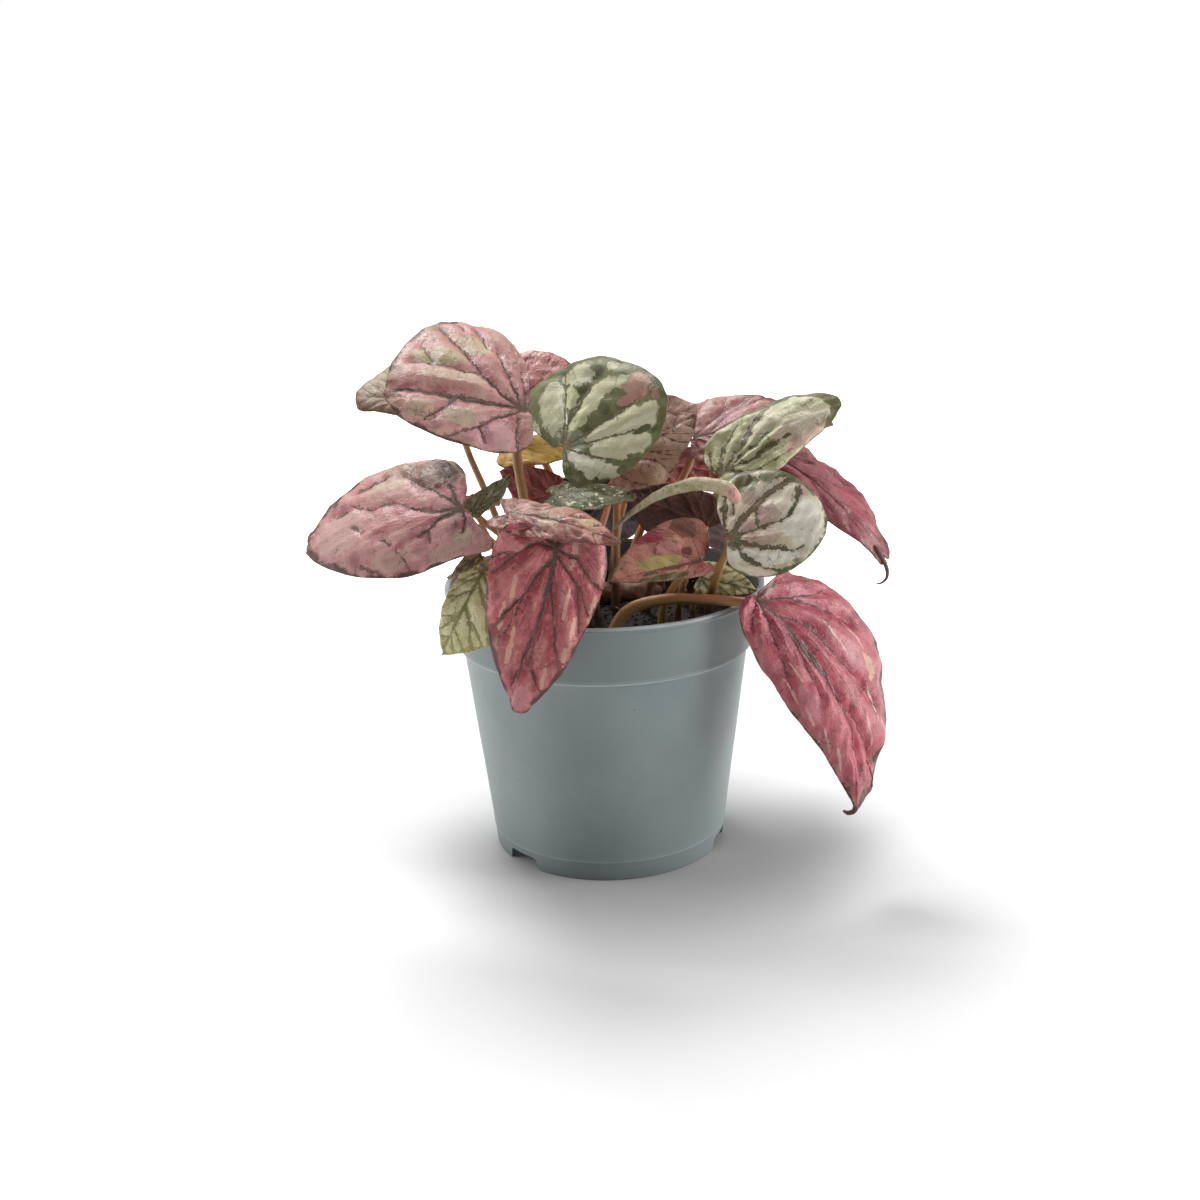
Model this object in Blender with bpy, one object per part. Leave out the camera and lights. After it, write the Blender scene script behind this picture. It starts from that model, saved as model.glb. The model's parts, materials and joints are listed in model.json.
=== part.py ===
"""A painted-leaf begonia in its 12 cm grower's pot: pot, soil, rhizome, leaf stalks and leaves.

Sizes are in millimetres and degrees. The pot's axis is the Z axis, its foot stands on z = 0, and
the plant's front looks along -Y.
"""
import math

import bmesh
import bpy
from mathutils import Matrix, Vector

MM = 0.001
GAP = 0.3               # clearance between pieces that touch
SEAT = 0.5              # from a stalk's end to the blade above it, unless the leaf says more

POT_HEIGHT = 102.6
RIM_RADIUS = 60.0
COLLAR_TOP_RADIUS = 58.9
COLLAR_FOOT_RADIUS = 55.4
COLLAR_FOOT_HEIGHT = 80.1
COLLAR_STEP = 1.5
BASE_RADIUS = 44.1
WALL = 1.6
LIP_WIDTH = 2.4
LIP_DROP = 2.0
LIP_ROUNDING = 0.5
SHOULDER_HALF = 1.0     # half the height over which the inner wall steps out into the collar
FOOT_HEIGHT = 7.5       # from the floor up to the raised base plate
FOOT_NOTCHES = 3
FOOT_NOTCH_START = -138.0
FOOT_NOTCH_ANGLE = 22.0
FOOT_NOTCH_HEIGHT = 5.0
DRAIN_HOLES = 6
DRAIN_HOLE_RADIUS = 4.0
DRAIN_HOLE_SEGMENTS = 12
DRAIN_HOLE_TURN = 0.1   # each hole's facets turned off the pot's own
DRAIN_RING_RADIUS = 27.0
DRAIN_START = 17.0
POT_SEGMENTS = 48

SOIL_TOP = 91.5
SOIL_SEGMENTS = 32
SOIL_SLACK = 0.65       # clearance to the wall, more than GAP because the facets differ

RHIZOME_RADIUS = 4.0
RHIZOME_SIDES = 10
RHIZOME_TOP = SOIL_TOP + GAP + RHIZOME_RADIUS * (1 + math.cos(math.pi / RHIZOME_SIDES))
RHIZOME_ROUTE = ((-23, 9, 0.6), (-12, 5, 1.0), (0, 5, 1.0), (12, 4, 1.0), (22, 8, 0.6))

BLADE_THICKNESS = 0.8
BLADE_RAYS = 20
BLADE_RINGS = 3
MIDRIB_STEPS = 48
SKEW = 0.42             # how far the widest place lies towards the stalk
POINT = 0.6             # how much the tip narrows
NOTCH_DEPTH = 0.8       # of the reach behind the stalk
NOTCH_WIDTH = 0.45
STALK_SIDES = 6
STALK_RINGS = 7
STALK_FOOT = 1.35       # radius at the foot over the radius at the blade
STALK_RISE = 0.45       # share of the reach that the stalk starts straight up
STALK_MEET = 0.25       # share of the reach that it ends square to the blade

PLASTIC = ((0.155, 0.185, 0.185), 0.42)
SOIL = ((0.012, 0.010, 0.008), 0.95)
RHIZOME = ((0.16, 0.07, 0.05), 0.7)
STALK = ((0.42, 0.20, 0.07), 0.45)
PINK = ((0.44, 0.20, 0.20), 0.5)
RED = ((0.36, 0.07, 0.09), 0.45)
SILVER = ((0.38, 0.38, 0.26), 0.5)
OLIVE = ((0.34, 0.34, 0.14), 0.55)
TAN = ((0.40, 0.28, 0.14), 0.7)

# at: where the stalk meets the blade; tip: the blade's point; faces: compass turn (0 front, + right)
# and height of the way that the upper face looks; left, right: half widths; back: reach behind the
# stalk on each side; arch: bend along the midrib; roll: bends of the two sides; skew and point: see
# SKEW and POINT; bow: sideways bend of the whole blade; root: where the stalk leaves the ground, on
# the soil or on the rhizome; stalk: its radius at the blade; seat: see SEAT.
LEAVES = {
    "top_left": dict(at=(-26, -20, 171), tip=(-76, -30, 181), faces=(5, 50), left=20, right=46, back=(8, 6),
                     arch=30, roll=(20, 30), skew=0.3, color=PINK, root=(-24, -3), stalk=1.2),
    "far_left": dict(at=(-50, 6, 168), tip=(-92, 8, 174), faces=(10, 55), left=8, right=22, back=(6, 6),
                     arch=25, roll=(20, 20), skew=0.25, color=TAN, root=(-35, 16), stalk=0.9),
    "left": dict(at=(-48, -45, 142), tip=(-104, -35, 126), faces=(-8, 52), left=23, right=30, back=(14, 6),
                 arch=25, roll=(30, 20), skew=0.3, color=PINK, root=(-26, -18), stalk=1.2),
    "top_back": dict(at=(-36, 14, 168), tip=(-6, 20, 178), faces=(-10, 40), left=20, right=14, back=(8, 8),
                     arch=30, roll=(20, 20), skew=0.2, color=PINK, root=(-9, 5), stalk=1.0, on="rhizome"),
    "crown": dict(at=(-13, -22, 158), tip=(23, -28, 177), faces=(0, 42), left=32, right=21, back=(13, 9),
                  arch=20, roll=(20, 20), skew=0.1, point=0.1, color=SILVER, root=(-13, -8), stalk=1.2),
    "right_of_crown": dict(at=(2, -8, 148), tip=(34, -4, 163), faces=(15, 40), left=14, right=16, back=(6, 6),
                           arch=20, roll=(15, 25), color=PINK, root=(4, -8), stalk=1.0),
    "behind_crown": dict(at=(8, 14, 154), tip=(33, 18, 166), faces=(15, 45), left=14, right=12, back=(5, 5),
                         arch=20, roll=(15, 25), color=TAN, root=(3, 5), stalk=0.9, on="rhizome"),
    "speckled": dict(at=(-12, -34, 139), tip=(16, -37, 138), faces=(0, 80), left=14, right=12, back=(10, 10),
                     arch=25, roll=(25, 25), skew=0.2, color=OLIVE, root=(-3, -17), stalk=0.9),
    "yellow": dict(at=(-36, 4, 152), tip=(-6, 10, 151), faces=(0, 72), left=11, right=12, back=(8, 8),
                   arch=25, roll=(15, 15), skew=0.2, color=OLIVE, root=(-29, 12), stalk=0.9),
    "inner": dict(at=(-14, 0, 132), tip=(-38, 5, 144), faces=(175, 25), left=11, right=11, back=(5, 5),
                  arch=15, roll=(15, 15), skew=0.2, color=RED, root=(-19, -9), stalk=0.8),
    "ridge": dict(at=(-27, -55, 146), tip=(10, -66, 138), faces=(0, 74), left=12, right=10, back=(12, 12),
                  arch=20, roll=(25, 25), skew=0.2, color=PINK, root=(-14, -28), stalk=0.9),
    "front": dict(at=(-14, -67, 137), tip=(-29, -66, 77), faces=(0, 8), left=19, right=22, back=(7, 7),
                  arch=35, roll=(10, 10), color=RED, root=(-6, -28), stalk=1.2),
    "low_left": dict(at=(-42, -46, 120), tip=(-57, -50, 92), faces=(-10, 25), left=18, right=8, back=(6, 6),
                     arch=10, roll=(10, 10), skew=0.2, color=OLIVE, root=(-22, -34), stalk=0.9),
    "dry": dict(at=(-42, -50, 127), tip=(-54, -50, 119), faces=(0, 60), left=3, right=4, back=(2, 2),
                arch=20, roll=(10, 10), color=TAN, root=(-33, -19), stalk=0.7),
    "thin": dict(at=(-46, -28, 137), tip=(-32, -24, 149), faces=(60, 5), left=5, right=6, back=(4, 4),
                 arch=20, roll=(30, 30), color=OLIVE, root=(-34, -10), stalk=0.7),
    "back_right": dict(at=(35, 14, 153), tip=(88, 20, 156), faces=(0, 50), left=20, right=12, back=(8, 8),
                       arch=25, roll=(25, 25), color=PINK, root=(15, 14), stalk=1.1),
    "upper_right": dict(at=(42, -20, 146), tip=(85, -15, 171), faces=(-10, 50), left=18, right=12, back=(7, 5),
                        arch=25, roll=(20, 100), skew=0.3, point=0.1, color=SILVER, root=(15, -10), stalk=1.1,
                        seat=0.8),
    "silver_round": dict(at=(43, -50, 131), tip=(76, -50, 137), faces=(5, 35), left=26, right=16, back=(6, 6),
                         arch=10, roll=(15, 15), skew=0.1, point=0.1, color=SILVER, root=(37, -27), stalk=1.0),
    "far_right": dict(at=(60, -5, 151), tip=(104, -15, 108), faces=(20, 62), left=20, right=10, back=(8, 8),
                      arch=45, roll=(30, 60), color=PINK, root=(26, 2), stalk=1.1),
    "big_red": dict(at=(53, -45, 107), tip=(88, -50, 29), faces=(30, 20), left=27, right=10, back=(10, 6),
                    arch=20, roll=(25, 30), skew=0.1, bow=-11, point=0.5, color=RED, root=(3, -36), stalk=1.3,
                    seat=0.8),
    "hollow": dict(at=(36, -28, 120), tip=(8, -36, 134), faces=(180, 25), left=14, right=14, back=(12, 12),
                   arch=25, roll=(15, 15), skew=0.2, color=OLIVE, root=(26, -25), stalk=0.9),
    "young": dict(at=(33, -50, 123), tip=(1, -54, 118), faces=(0, 30), left=5, right=17, back=(10, 10),
                  arch=15, roll=(10, 10), color=RED, root=(20, -28), stalk=0.9),
    "low_right": dict(at=(35, -20, 108), tip=(55, -24, 104), faces=(-10, 40), left=8, right=6, back=(4, 4),
                      arch=15, roll=(10, 10), color=OLIVE, root=(32, -14), stalk=0.8),
    "back_left": dict(at=(-54, 34, 128), tip=(-84, 52, 104), faces=(215, 55), left=20, right=22, back=(9, 9),
                      arch=25, roll=(20, 20), color=PINK, root=(-26, 24), stalk=1.1),
    "back_middle": dict(at=(-4, 40, 136), tip=(-14, 71, 100), faces=(185, 45), left=22, right=20, back=(9, 9),
                        arch=25, roll=(20, 20), color=SILVER, root=(-6, 20), stalk=1.1),
    "back_low": dict(at=(34, 36, 122), tip=(64, 60, 88), faces=(150, 45), left=18, right=20, back=(8, 8),
                     arch=20, roll=(20, 20), color=RED, root=(22, 20), stalk=1.1),
    "back_upper": dict(at=(-27, 35, 157), tip=(-60, 56, 157), faces=(200, 58), left=17, right=17, back=(8, 8),
                       arch=25, roll=(20, 20), color=PINK, root=(-15, 22), stalk=1.0),
    "back_high": dict(at=(21, 32, 154), tip=(54, 52, 144), faces=(150, 60), left=18, right=17, back=(8, 8),
                      arch=25, roll=(20, 20), color=PINK, root=(8, 18), stalk=1.1),
}


def finish_material(name, color, roughness):
    material = bpy.data.materials.new(name)
    material.use_nodes = True
    shader = material.node_tree.nodes["Principled BSDF"]
    shader.inputs["Base Color"].default_value = (*color, 1.0)
    shader.inputs["Roughness"].default_value = roughness
    shader.inputs["Metallic"].default_value = 0.0
    material.diffuse_color = (*color, 1.0)
    return material


def add_object(name, mesh, finish):
    piece = bpy.data.objects.new(name, mesh)
    bpy.context.collection.objects.link(piece)
    mesh.materials.append(finish_material(name, *finish))
    return piece


def mesh_from_bmesh(name, bm):
    bmesh.ops.recalc_face_normals(bm, faces=bm.faces)
    mesh = bpy.data.meshes.new(name)
    bm.to_mesh(mesh)
    bm.free()
    mesh.shade_smooth()
    mesh.set_sharp_from_angle(angle=math.radians(40))
    return mesh


def turned(name, profile, segments):
    """Closed solid turned about Z from a loop of (radius, height); a point on the axis is a pole."""
    bm = bmesh.new()
    rings = []
    for radius, height in profile:
        ring = []
        for index in range(segments if radius > 0 else 1):
            angle = math.tau * index / segments
            spot = Vector((radius * math.cos(angle), radius * math.sin(angle), height))
            ring.append(bm.verts.new(spot * MM))
        rings.append(ring)
    for first, second in zip(rings, rings[1:] + rings[:1]):
        if len(first) == 1 and len(second) == 1:
            continue
        for index in range(segments):
            after = (index + 1) % segments
            corners = [first[index % len(first)], first[after % len(first)]]
            corners += [second[after % len(second)], second[index % len(second)]]
            bm.faces.new(list(dict.fromkeys(corners)))
    return mesh_from_bmesh(name, bm)


def cutter(name, mesh):
    piece = bpy.data.objects.new(name, mesh)
    bpy.context.collection.objects.link(piece)
    piece.hide_render = True
    piece.display_type = "WIRE"
    return piece


def subtract(piece, tool):
    cut = piece.modifiers.new(tool.name, "BOOLEAN")
    cut.operation = "DIFFERENCE"
    cut.solver = "EXACT"
    cut.object = tool


def wall_radius(height):
    """Outer radius of the pot's body at a height, below the collar."""
    top = COLLAR_FOOT_RADIUS - COLLAR_STEP
    return BASE_RADIUS + (top - BASE_RADIUS) * height / COLLAR_FOOT_HEIGHT


def inner_radius(height):
    """Inner radius of the pot at a height above its base plate."""
    if height > COLLAR_FOOT_HEIGHT + WALL:
        top = RIM_RADIUS - LIP_WIDTH
        foot = COLLAR_FOOT_RADIUS - WALL
        share = (height - COLLAR_FOOT_HEIGHT) / (POT_HEIGHT - COLLAR_FOOT_HEIGHT)
        return foot + (top - foot) * share
    return wall_radius(height) - WALL


def build_pot():
    lip_foot = POT_HEIGHT - LIP_DROP
    over = COLLAR_FOOT_HEIGHT + WALL + SHOULDER_HALF
    under = COLLAR_FOOT_HEIGHT + WALL - SHOULDER_HALF
    profile = [
        (BASE_RADIUS, 0.0),
        (COLLAR_FOOT_RADIUS - COLLAR_STEP, COLLAR_FOOT_HEIGHT),
        (COLLAR_FOOT_RADIUS, COLLAR_FOOT_HEIGHT + LIP_ROUNDING),
        (COLLAR_TOP_RADIUS, lip_foot),
        (RIM_RADIUS, lip_foot + LIP_ROUNDING),
        (RIM_RADIUS, POT_HEIGHT - LIP_ROUNDING),
        (RIM_RADIUS - LIP_ROUNDING, POT_HEIGHT),
        (RIM_RADIUS - LIP_WIDTH + LIP_ROUNDING, POT_HEIGHT),
        (RIM_RADIUS - LIP_WIDTH, POT_HEIGHT - LIP_ROUNDING),
        (inner_radius(over), over),
        (inner_radius(under), under),
        (inner_radius(FOOT_HEIGHT + WALL), FOOT_HEIGHT + WALL),
        (0.0, FOOT_HEIGHT + WALL),
        (0.0, FOOT_HEIGHT),
        (wall_radius(FOOT_HEIGHT) - WALL, FOOT_HEIGHT),
        (BASE_RADIUS - WALL, 0.0),
    ]
    pot = add_object("pot", turned("pot", profile, POT_SEGMENTS), PLASTIC)
    for index in range(FOOT_NOTCHES):
        middle = math.radians(FOOT_NOTCH_START + 360 / FOOT_NOTCHES * index)
        subtract(pot, foot_notch(f"foot_notch_{index + 1}", middle))
    reach = FOOT_HEIGHT - WALL      # past both faces of the base plate
    bore = ((0, -reach), (DRAIN_HOLE_RADIUS, -reach), (DRAIN_HOLE_RADIUS, reach), (0, reach))
    for index in range(DRAIN_HOLES):
        angle = math.radians(DRAIN_START + 360 / DRAIN_HOLES * index)
        hole = cutter(f"drain_hole_{index + 1}", turned("drain_hole", bore, DRAIN_HOLE_SEGMENTS))
        around = Vector((math.cos(angle), math.sin(angle), 0)) * DRAIN_RING_RADIUS
        hole.location = (around + Vector((0, 0, FOOT_HEIGHT + WALL / 2))) * MM
        hole.rotation_euler.z = angle + DRAIN_HOLE_TURN
        subtract(pot, hole)
    return pot


def foot_notch(name, middle):
    """A wedge with sloping sides that opens the foot ring below the base plate."""
    half = math.radians(FOOT_NOTCH_ANGLE / 2)
    bm = bmesh.new()
    corners = []
    for height, share in ((-LIP_DROP, 1.1), (FOOT_NOTCH_HEIGHT, 0.75)):
        for radius in (BASE_RADIUS - 3 * WALL, BASE_RADIUS + 3 * WALL):
            for side in (-1, 1):
                angle = middle + side * half * share
                spot = Vector((radius * math.cos(angle), radius * math.sin(angle), height))
                corners.append(bm.verts.new(spot * MM))
    for index in ((0, 1, 3, 2), (4, 5, 7, 6), (0, 1, 5, 4), (2, 3, 7, 6), (0, 2, 6, 4), (1, 3, 7, 5)):
        bm.faces.new([corners[k] for k in index])
    return cutter(name, mesh_from_bmesh(name, bm))


def build_soil():
    floor = FOOT_HEIGHT + WALL + GAP
    shoulder = COLLAR_FOOT_HEIGHT + WALL
    over, under = shoulder + SHOULDER_HALF, shoulder - SHOULDER_HALF
    profile = (
        (0, SOIL_TOP),
        (inner_radius(SOIL_TOP) - SOIL_SLACK - 1.5, SOIL_TOP),
        (inner_radius(SOIL_TOP) - SOIL_SLACK, SOIL_TOP - 0.8),
        (inner_radius(over) - SOIL_SLACK, over + 0.2),
        (inner_radius(under) - SOIL_SLACK, under),
        (inner_radius(floor) - SOIL_SLACK, floor),
        (0, floor),
    )
    return add_object("potting_soil", turned("potting_soil", profile, SOIL_SEGMENTS), SOIL)


def tube(name, points, radii, sides, along):
    """A closed tube through points with flat ends, the first one square to the given direction."""
    bm = bmesh.new()
    rings = []
    side_axis = Vector((1, 0, 0))
    for index, point in enumerate(points):
        if index > 0:
            along = (points[min(index + 1, len(points) - 1)] - points[index - 1]).normalized()
        side_axis = (side_axis - along * side_axis.dot(along)).normalized()
        other = along.cross(side_axis)
        ring = []
        for corner in range(sides):
            angle = math.tau * corner / sides
            spot = point + (side_axis * math.cos(angle) + other * math.sin(angle)) * radii[index]
            ring.append(bm.verts.new(spot * MM))
        rings.append(ring)
    for first, second in zip(rings, rings[1:]):
        for corner in range(sides):
            after = (corner + 1) % sides
            bm.faces.new((first[corner], first[after], second[after], second[corner]))
    bm.faces.new(rings[0])
    bm.faces.new(rings[-1])
    return mesh_from_bmesh(name, bm)


def build_rhizome():
    """The creeping stem that lies on the soil and carries some of the stalks."""
    height = SOIL_TOP + GAP + RHIZOME_RADIUS
    points = [Vector((x, y, height)) for x, y, _ in RHIZOME_ROUTE]
    radii = [RHIZOME_RADIUS * share for _, _, share in RHIZOME_ROUTE]
    mesh = tube("rhizome", points, radii, RHIZOME_SIDES, (points[1] - points[0]).normalized())
    return add_object("rhizome", mesh, RHIZOME)


def facing(turn, height):
    turn, height = math.radians(turn), math.radians(height)
    level = math.cos(height)
    return Vector((math.sin(turn) * level, -math.cos(turn) * level, math.sin(height)))


def leaf_frame(spec):
    """Rotation whose Y runs from stalk to tip and whose Z looks the way the leaf faces."""
    forward = (Vector(spec["tip"]) - Vector(spec["at"])).normalized()
    upper = facing(*spec["faces"])
    upper = (upper - forward * upper.dot(forward)).normalized()
    right = forward.cross(upper)
    return Matrix((right, forward, upper)).transposed()


class Blade:
    """The bent upper face of one leaf, in its own frame: X right, Y to the tip, Z out of the face."""

    def __init__(self, spec):
        back, roll = spec["back"], spec["roll"]
        self.sides = dict(left=(spec["left"], back[0], roll[0]), right=(spec["right"], back[1], roll[1]))
        self.bow = spec.get("bow", 0)
        self.skew = spec.get("skew", SKEW)
        self.point = spec.get("point", POINT)
        chord = (Vector(spec["tip"]) - Vector(spec["at"])).length
        slopes = [-math.radians(spec["arch"]) * step / MIDRIB_STEPS for step in range(MIDRIB_STEPS + 1)]
        spots = [Vector((0, 0))]
        for first, second in zip(slopes, slopes[1:]):
            slope = (first + second) / 2
            spots.append(spots[-1] + Vector((math.cos(slope), math.sin(slope))) / MIDRIB_STEPS)
        tilt = math.atan2(spots[-1].y, spots[-1].x)
        self.length = chord / spots[-1].length
        self.slopes = [slope - tilt for slope in slopes]
        turn = Matrix.Rotation(-tilt, 2)
        self.spots = [turn @ spot * self.length for spot in spots]

    def midrib(self, forward):
        """Point and slope of the midrib at a flat distance from the stalk."""
        if forward < 0:
            slope = self.slopes[0]
            return Vector((math.cos(slope), math.sin(slope))) * forward, slope
        place = min(forward / self.length, 1.0) * MIDRIB_STEPS
        index = min(int(place), MIDRIB_STEPS - 1)
        share = place - index
        spot = self.spots[index].lerp(self.spots[index + 1], share)
        slope = self.slopes[index] + (self.slopes[index + 1] - self.slopes[index]) * share
        return spot, slope

    def outline(self, angle, half_width, back):
        """Flat (side, forward) of the margin: angle 0 is the tip, pi the notch at the stalk."""
        middle, reach = (self.length - back) / 2, (self.length + back) / 2
        forward = middle + reach * math.cos(angle)
        toward_tip = (1 + math.cos(angle)) / 2
        side = half_width * math.sin(angle - self.skew * math.sin(angle))
        side *= 1 - self.point * toward_tip ** 8
        forward += NOTCH_DEPTH * back * math.exp(-((math.pi - angle) / NOTCH_WIDTH) ** 2)
        return side, forward

    def point_at(self, angle, share, lift):
        """Bent place of the point on the ray at an angle, share of the way out, lifted off the face."""
        half_width, back, roll = self.sides["right" if angle >= 0 else "left"]
        side, forward = self.outline(abs(angle), half_width, back)
        side, forward = side * share, forward * share
        bend = math.radians(roll) / half_width
        slant = bend * side
        across = math.sin(slant) / bend + lift * math.sin(slant)
        height = lift * math.cos(slant) - (1 - math.cos(slant)) / bend
        if angle < 0:
            across = -across
        along = max(forward, 0) / self.length
        across += self.bow * 4 * along * (1 - along)
        spot, slope = self.midrib(forward)
        return Vector((across, spot.x - height * math.sin(slope), spot.y + height * math.cos(slope)))


def build_leaf(name, spec):
    blade = Blade(spec)
    bm = bmesh.new()
    layers = []
    for lift in (BLADE_THICKNESS / 2, -BLADE_THICKNESS / 2):
        rings = [[bm.verts.new(blade.point_at(0.0, 0.0, lift) * MM)]]
        for ring_index in range(1, BLADE_RINGS + 1):
            ring = []
            for ray in range(BLADE_RAYS):
                angle = -math.pi + math.tau * (ray + 0.5) / BLADE_RAYS
                spot = blade.point_at(angle, ring_index / BLADE_RINGS, lift)
                ring.append(bm.verts.new(spot * MM))
            rings.append(ring)
        layers.append(rings)
    for rings in layers:
        for ray in range(BLADE_RAYS):
            after = (ray + 1) % BLADE_RAYS
            bm.faces.new((rings[0][0], rings[1][ray], rings[1][after]))
            for first, second in zip(rings[1:], rings[2:]):
                bm.faces.new((first[ray], second[ray], second[after], first[after]))
    top, bottom = layers[0][-1], layers[1][-1]
    for ray in range(BLADE_RAYS):
        after = (ray + 1) % BLADE_RAYS
        bm.faces.new((top[ray], bottom[ray], bottom[after], top[after]))
    bmesh.ops.triangulate(bm, faces=bm.faces)
    leaf = add_object("leaf_" + name, mesh_from_bmesh("leaf_" + name, bm), spec["color"])
    leaf.location = Vector(spec["at"]) * MM
    leaf.rotation_euler = leaf_frame(spec).to_euler()
    return leaf


def build_stalk(name, spec):
    """A leaf stalk from the ground to just under the blade."""
    blade = Blade(spec)
    frame = leaf_frame(spec)
    under = blade.point_at(0.0, 0.0, -BLADE_THICKNESS / 2 - spec.get("seat", SEAT))
    end = Vector(spec["at"]) + frame @ under
    down = -(frame @ Vector((0, -math.sin(blade.slopes[0]), math.cos(blade.slopes[0]))))
    ground = RHIZOME_TOP if spec.get("on") == "rhizome" else SOIL_TOP
    start = Vector((*spec["root"], ground + GAP))
    upward = Vector((0, 0, 1))
    reach = (end - start).length
    first = start + upward * reach * STALK_RISE
    last = end + down * reach * STALK_MEET
    points, radii = [], []
    for index in range(STALK_RINGS + 1):
        t = index / STALK_RINGS
        s = 1 - t
        points.append(start * s ** 3 + first * 3 * s * s * t + last * 3 * s * t * t + end * t ** 3)
        radii.append(spec["stalk"] * (STALK_FOOT * s + t))
    mesh = tube("stalk_" + name, points, radii, STALK_SIDES, upward)
    return add_object("stalk_" + name, mesh, STALK)


def main():
    for piece in list(bpy.data.objects):
        bpy.data.objects.remove(piece)
    build_pot()
    build_soil()
    build_rhizome()
    for name, spec in LEAVES.items():
        build_leaf(name, spec)
        build_stalk(name, spec)


main()
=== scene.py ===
import json
import math

import bpy
import numpy as np
from mathutils import Matrix, Vector


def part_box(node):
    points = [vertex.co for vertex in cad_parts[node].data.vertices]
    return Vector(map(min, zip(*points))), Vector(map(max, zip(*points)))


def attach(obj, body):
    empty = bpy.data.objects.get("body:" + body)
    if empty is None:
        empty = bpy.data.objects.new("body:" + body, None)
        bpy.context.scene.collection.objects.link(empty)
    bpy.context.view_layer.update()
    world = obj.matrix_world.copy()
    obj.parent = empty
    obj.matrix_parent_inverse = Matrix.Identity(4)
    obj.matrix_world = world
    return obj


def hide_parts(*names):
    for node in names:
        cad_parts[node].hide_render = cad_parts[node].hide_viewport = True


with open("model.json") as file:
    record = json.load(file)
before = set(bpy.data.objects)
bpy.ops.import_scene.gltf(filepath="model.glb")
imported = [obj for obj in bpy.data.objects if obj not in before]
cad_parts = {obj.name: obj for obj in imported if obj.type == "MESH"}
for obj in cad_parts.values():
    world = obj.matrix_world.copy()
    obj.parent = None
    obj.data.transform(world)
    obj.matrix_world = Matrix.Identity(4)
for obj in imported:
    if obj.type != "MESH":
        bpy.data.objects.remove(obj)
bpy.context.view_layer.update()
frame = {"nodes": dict(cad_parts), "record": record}        # nodes and record
slotOf = {part["node"]: part["material_slot"] for part in frame["record"]["subparts"]}
mm = 0.001

print("frame loaded:", len(frame["nodes"]), "nodes")


def clearSelection():
    for item in bpy.context.selected_objects:
        item.select_set(False)


def place(piece, nodes, slotName):
    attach(piece, "root")
    if nodes:
        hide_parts(*nodes)


def applyAll(piece):
    clearSelection()
    piece.select_set(True)
    bpy.context.view_layer.objects.active = piece
    for modifier in list(piece.modifiers):
        bpy.ops.object.modifier_apply(modifier=modifier.name)


def smoothStep(low, high, value):
    share = np.clip((value - low) / (high - low), 0.0, 1.0)
    return share * share * (3.0 - 2.0 * share)


def unit(vector):
    return vector / np.linalg.norm(vector)


def unitRows(vectors):
    return vectors / np.linalg.norm(vectors, axis=1)[:, None]


def readPoints(mesh):
    flat = np.empty(len(mesh.vertices) * 3)
    mesh.vertices.foreach_get("co", flat)
    return flat.reshape(-1, 3)


def writePoints(mesh, points):
    # points in millimetres
    mesh.vertices.foreach_set("co", (points * mm).ravel())
    mesh.update()


def cornerPoints(mesh):
    corners = np.empty(len(mesh.loops), dtype=np.int32)
    mesh.loops.foreach_get("vertex_index", corners)
    return corners


def writeMaps(mesh, **maps):
    # UV maps with a value for each corner, in place of the primitive's own
    while mesh.uv_layers:
        mesh.uv_layers.remove(mesh.uv_layers[0])
    for label, values in maps.items():
        layer = mesh.uv_layers.new(name=label)
        layer.uv.foreach_set("vector", values.astype(np.float32).ravel())


def addGrid(name, across, along):
    clearSelection()
    bpy.ops.mesh.primitive_grid_add(x_subdivisions=across, y_subdivisions=along, size=2.0)
    piece = bpy.context.object
    piece.name = piece.data.name = name
    return piece, readPoints(piece.data)


def addMesh(name, points, faces, material):
    mesh = bpy.data.meshes.new(name)
    mesh.from_pydata((points * mm).tolist(), [], faces.tolist())
    mesh.materials.append(material)
    piece = bpy.data.objects.new(name, mesh)
    bpy.context.collection.objects.link(piece)
    return piece


def softPath(places, radii, count, rounds):
    # even stations on a broken line, smoothed a few times, with the radius at each
    corners = np.array(places, float)
    order = np.arange(len(corners))
    stations = np.linspace(0, len(corners) - 1, count)
    path = np.column_stack([np.interp(stations, order, column) for column in corners.T])
    for _ in range(rounds):
        path[1:-1] = (path[:-2] + 2 * path[1:-1] + path[2:]) / 4
    return path, np.interp(stations, order, radii)


def ripple(points, size, seed, octaves=3):
    # smooth pseudo-noise between -1 and 1, from sines laid in seeded directions
    random = np.random.default_rng(seed)
    total = np.zeros(len(points))
    weight = 0.0
    for octave in range(octaves):
        scale = 2.0 ** octave / size
        gain = 0.55 ** octave
        for _ in range(4):
            direction = unit(random.normal(size=points.shape[1]))
            phase = random.uniform(0, 2 * np.pi)
            total += gain * np.sin(2 * np.pi * scale * (points @ direction) + phase)
        weight += gain * 2.0
    return total / weight


print("helpers ready")


def newGroup(name, inputs, outputs):
    group = bpy.data.node_groups.new(name, "ShaderNodeTree")
    for label, kind, value in inputs:
        socket = group.interface.new_socket(label, in_out="INPUT", socket_type="NodeSocket" + kind)
        if value is not None:
            socket.default_value = value
    for label, kind in outputs:
        group.interface.new_socket(label, in_out="OUTPUT", socket_type="NodeSocket" + kind)
    start = group.nodes.new("NodeGroupInput")
    end = group.nodes.new("NodeGroupOutput")
    return group, start, end


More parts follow.
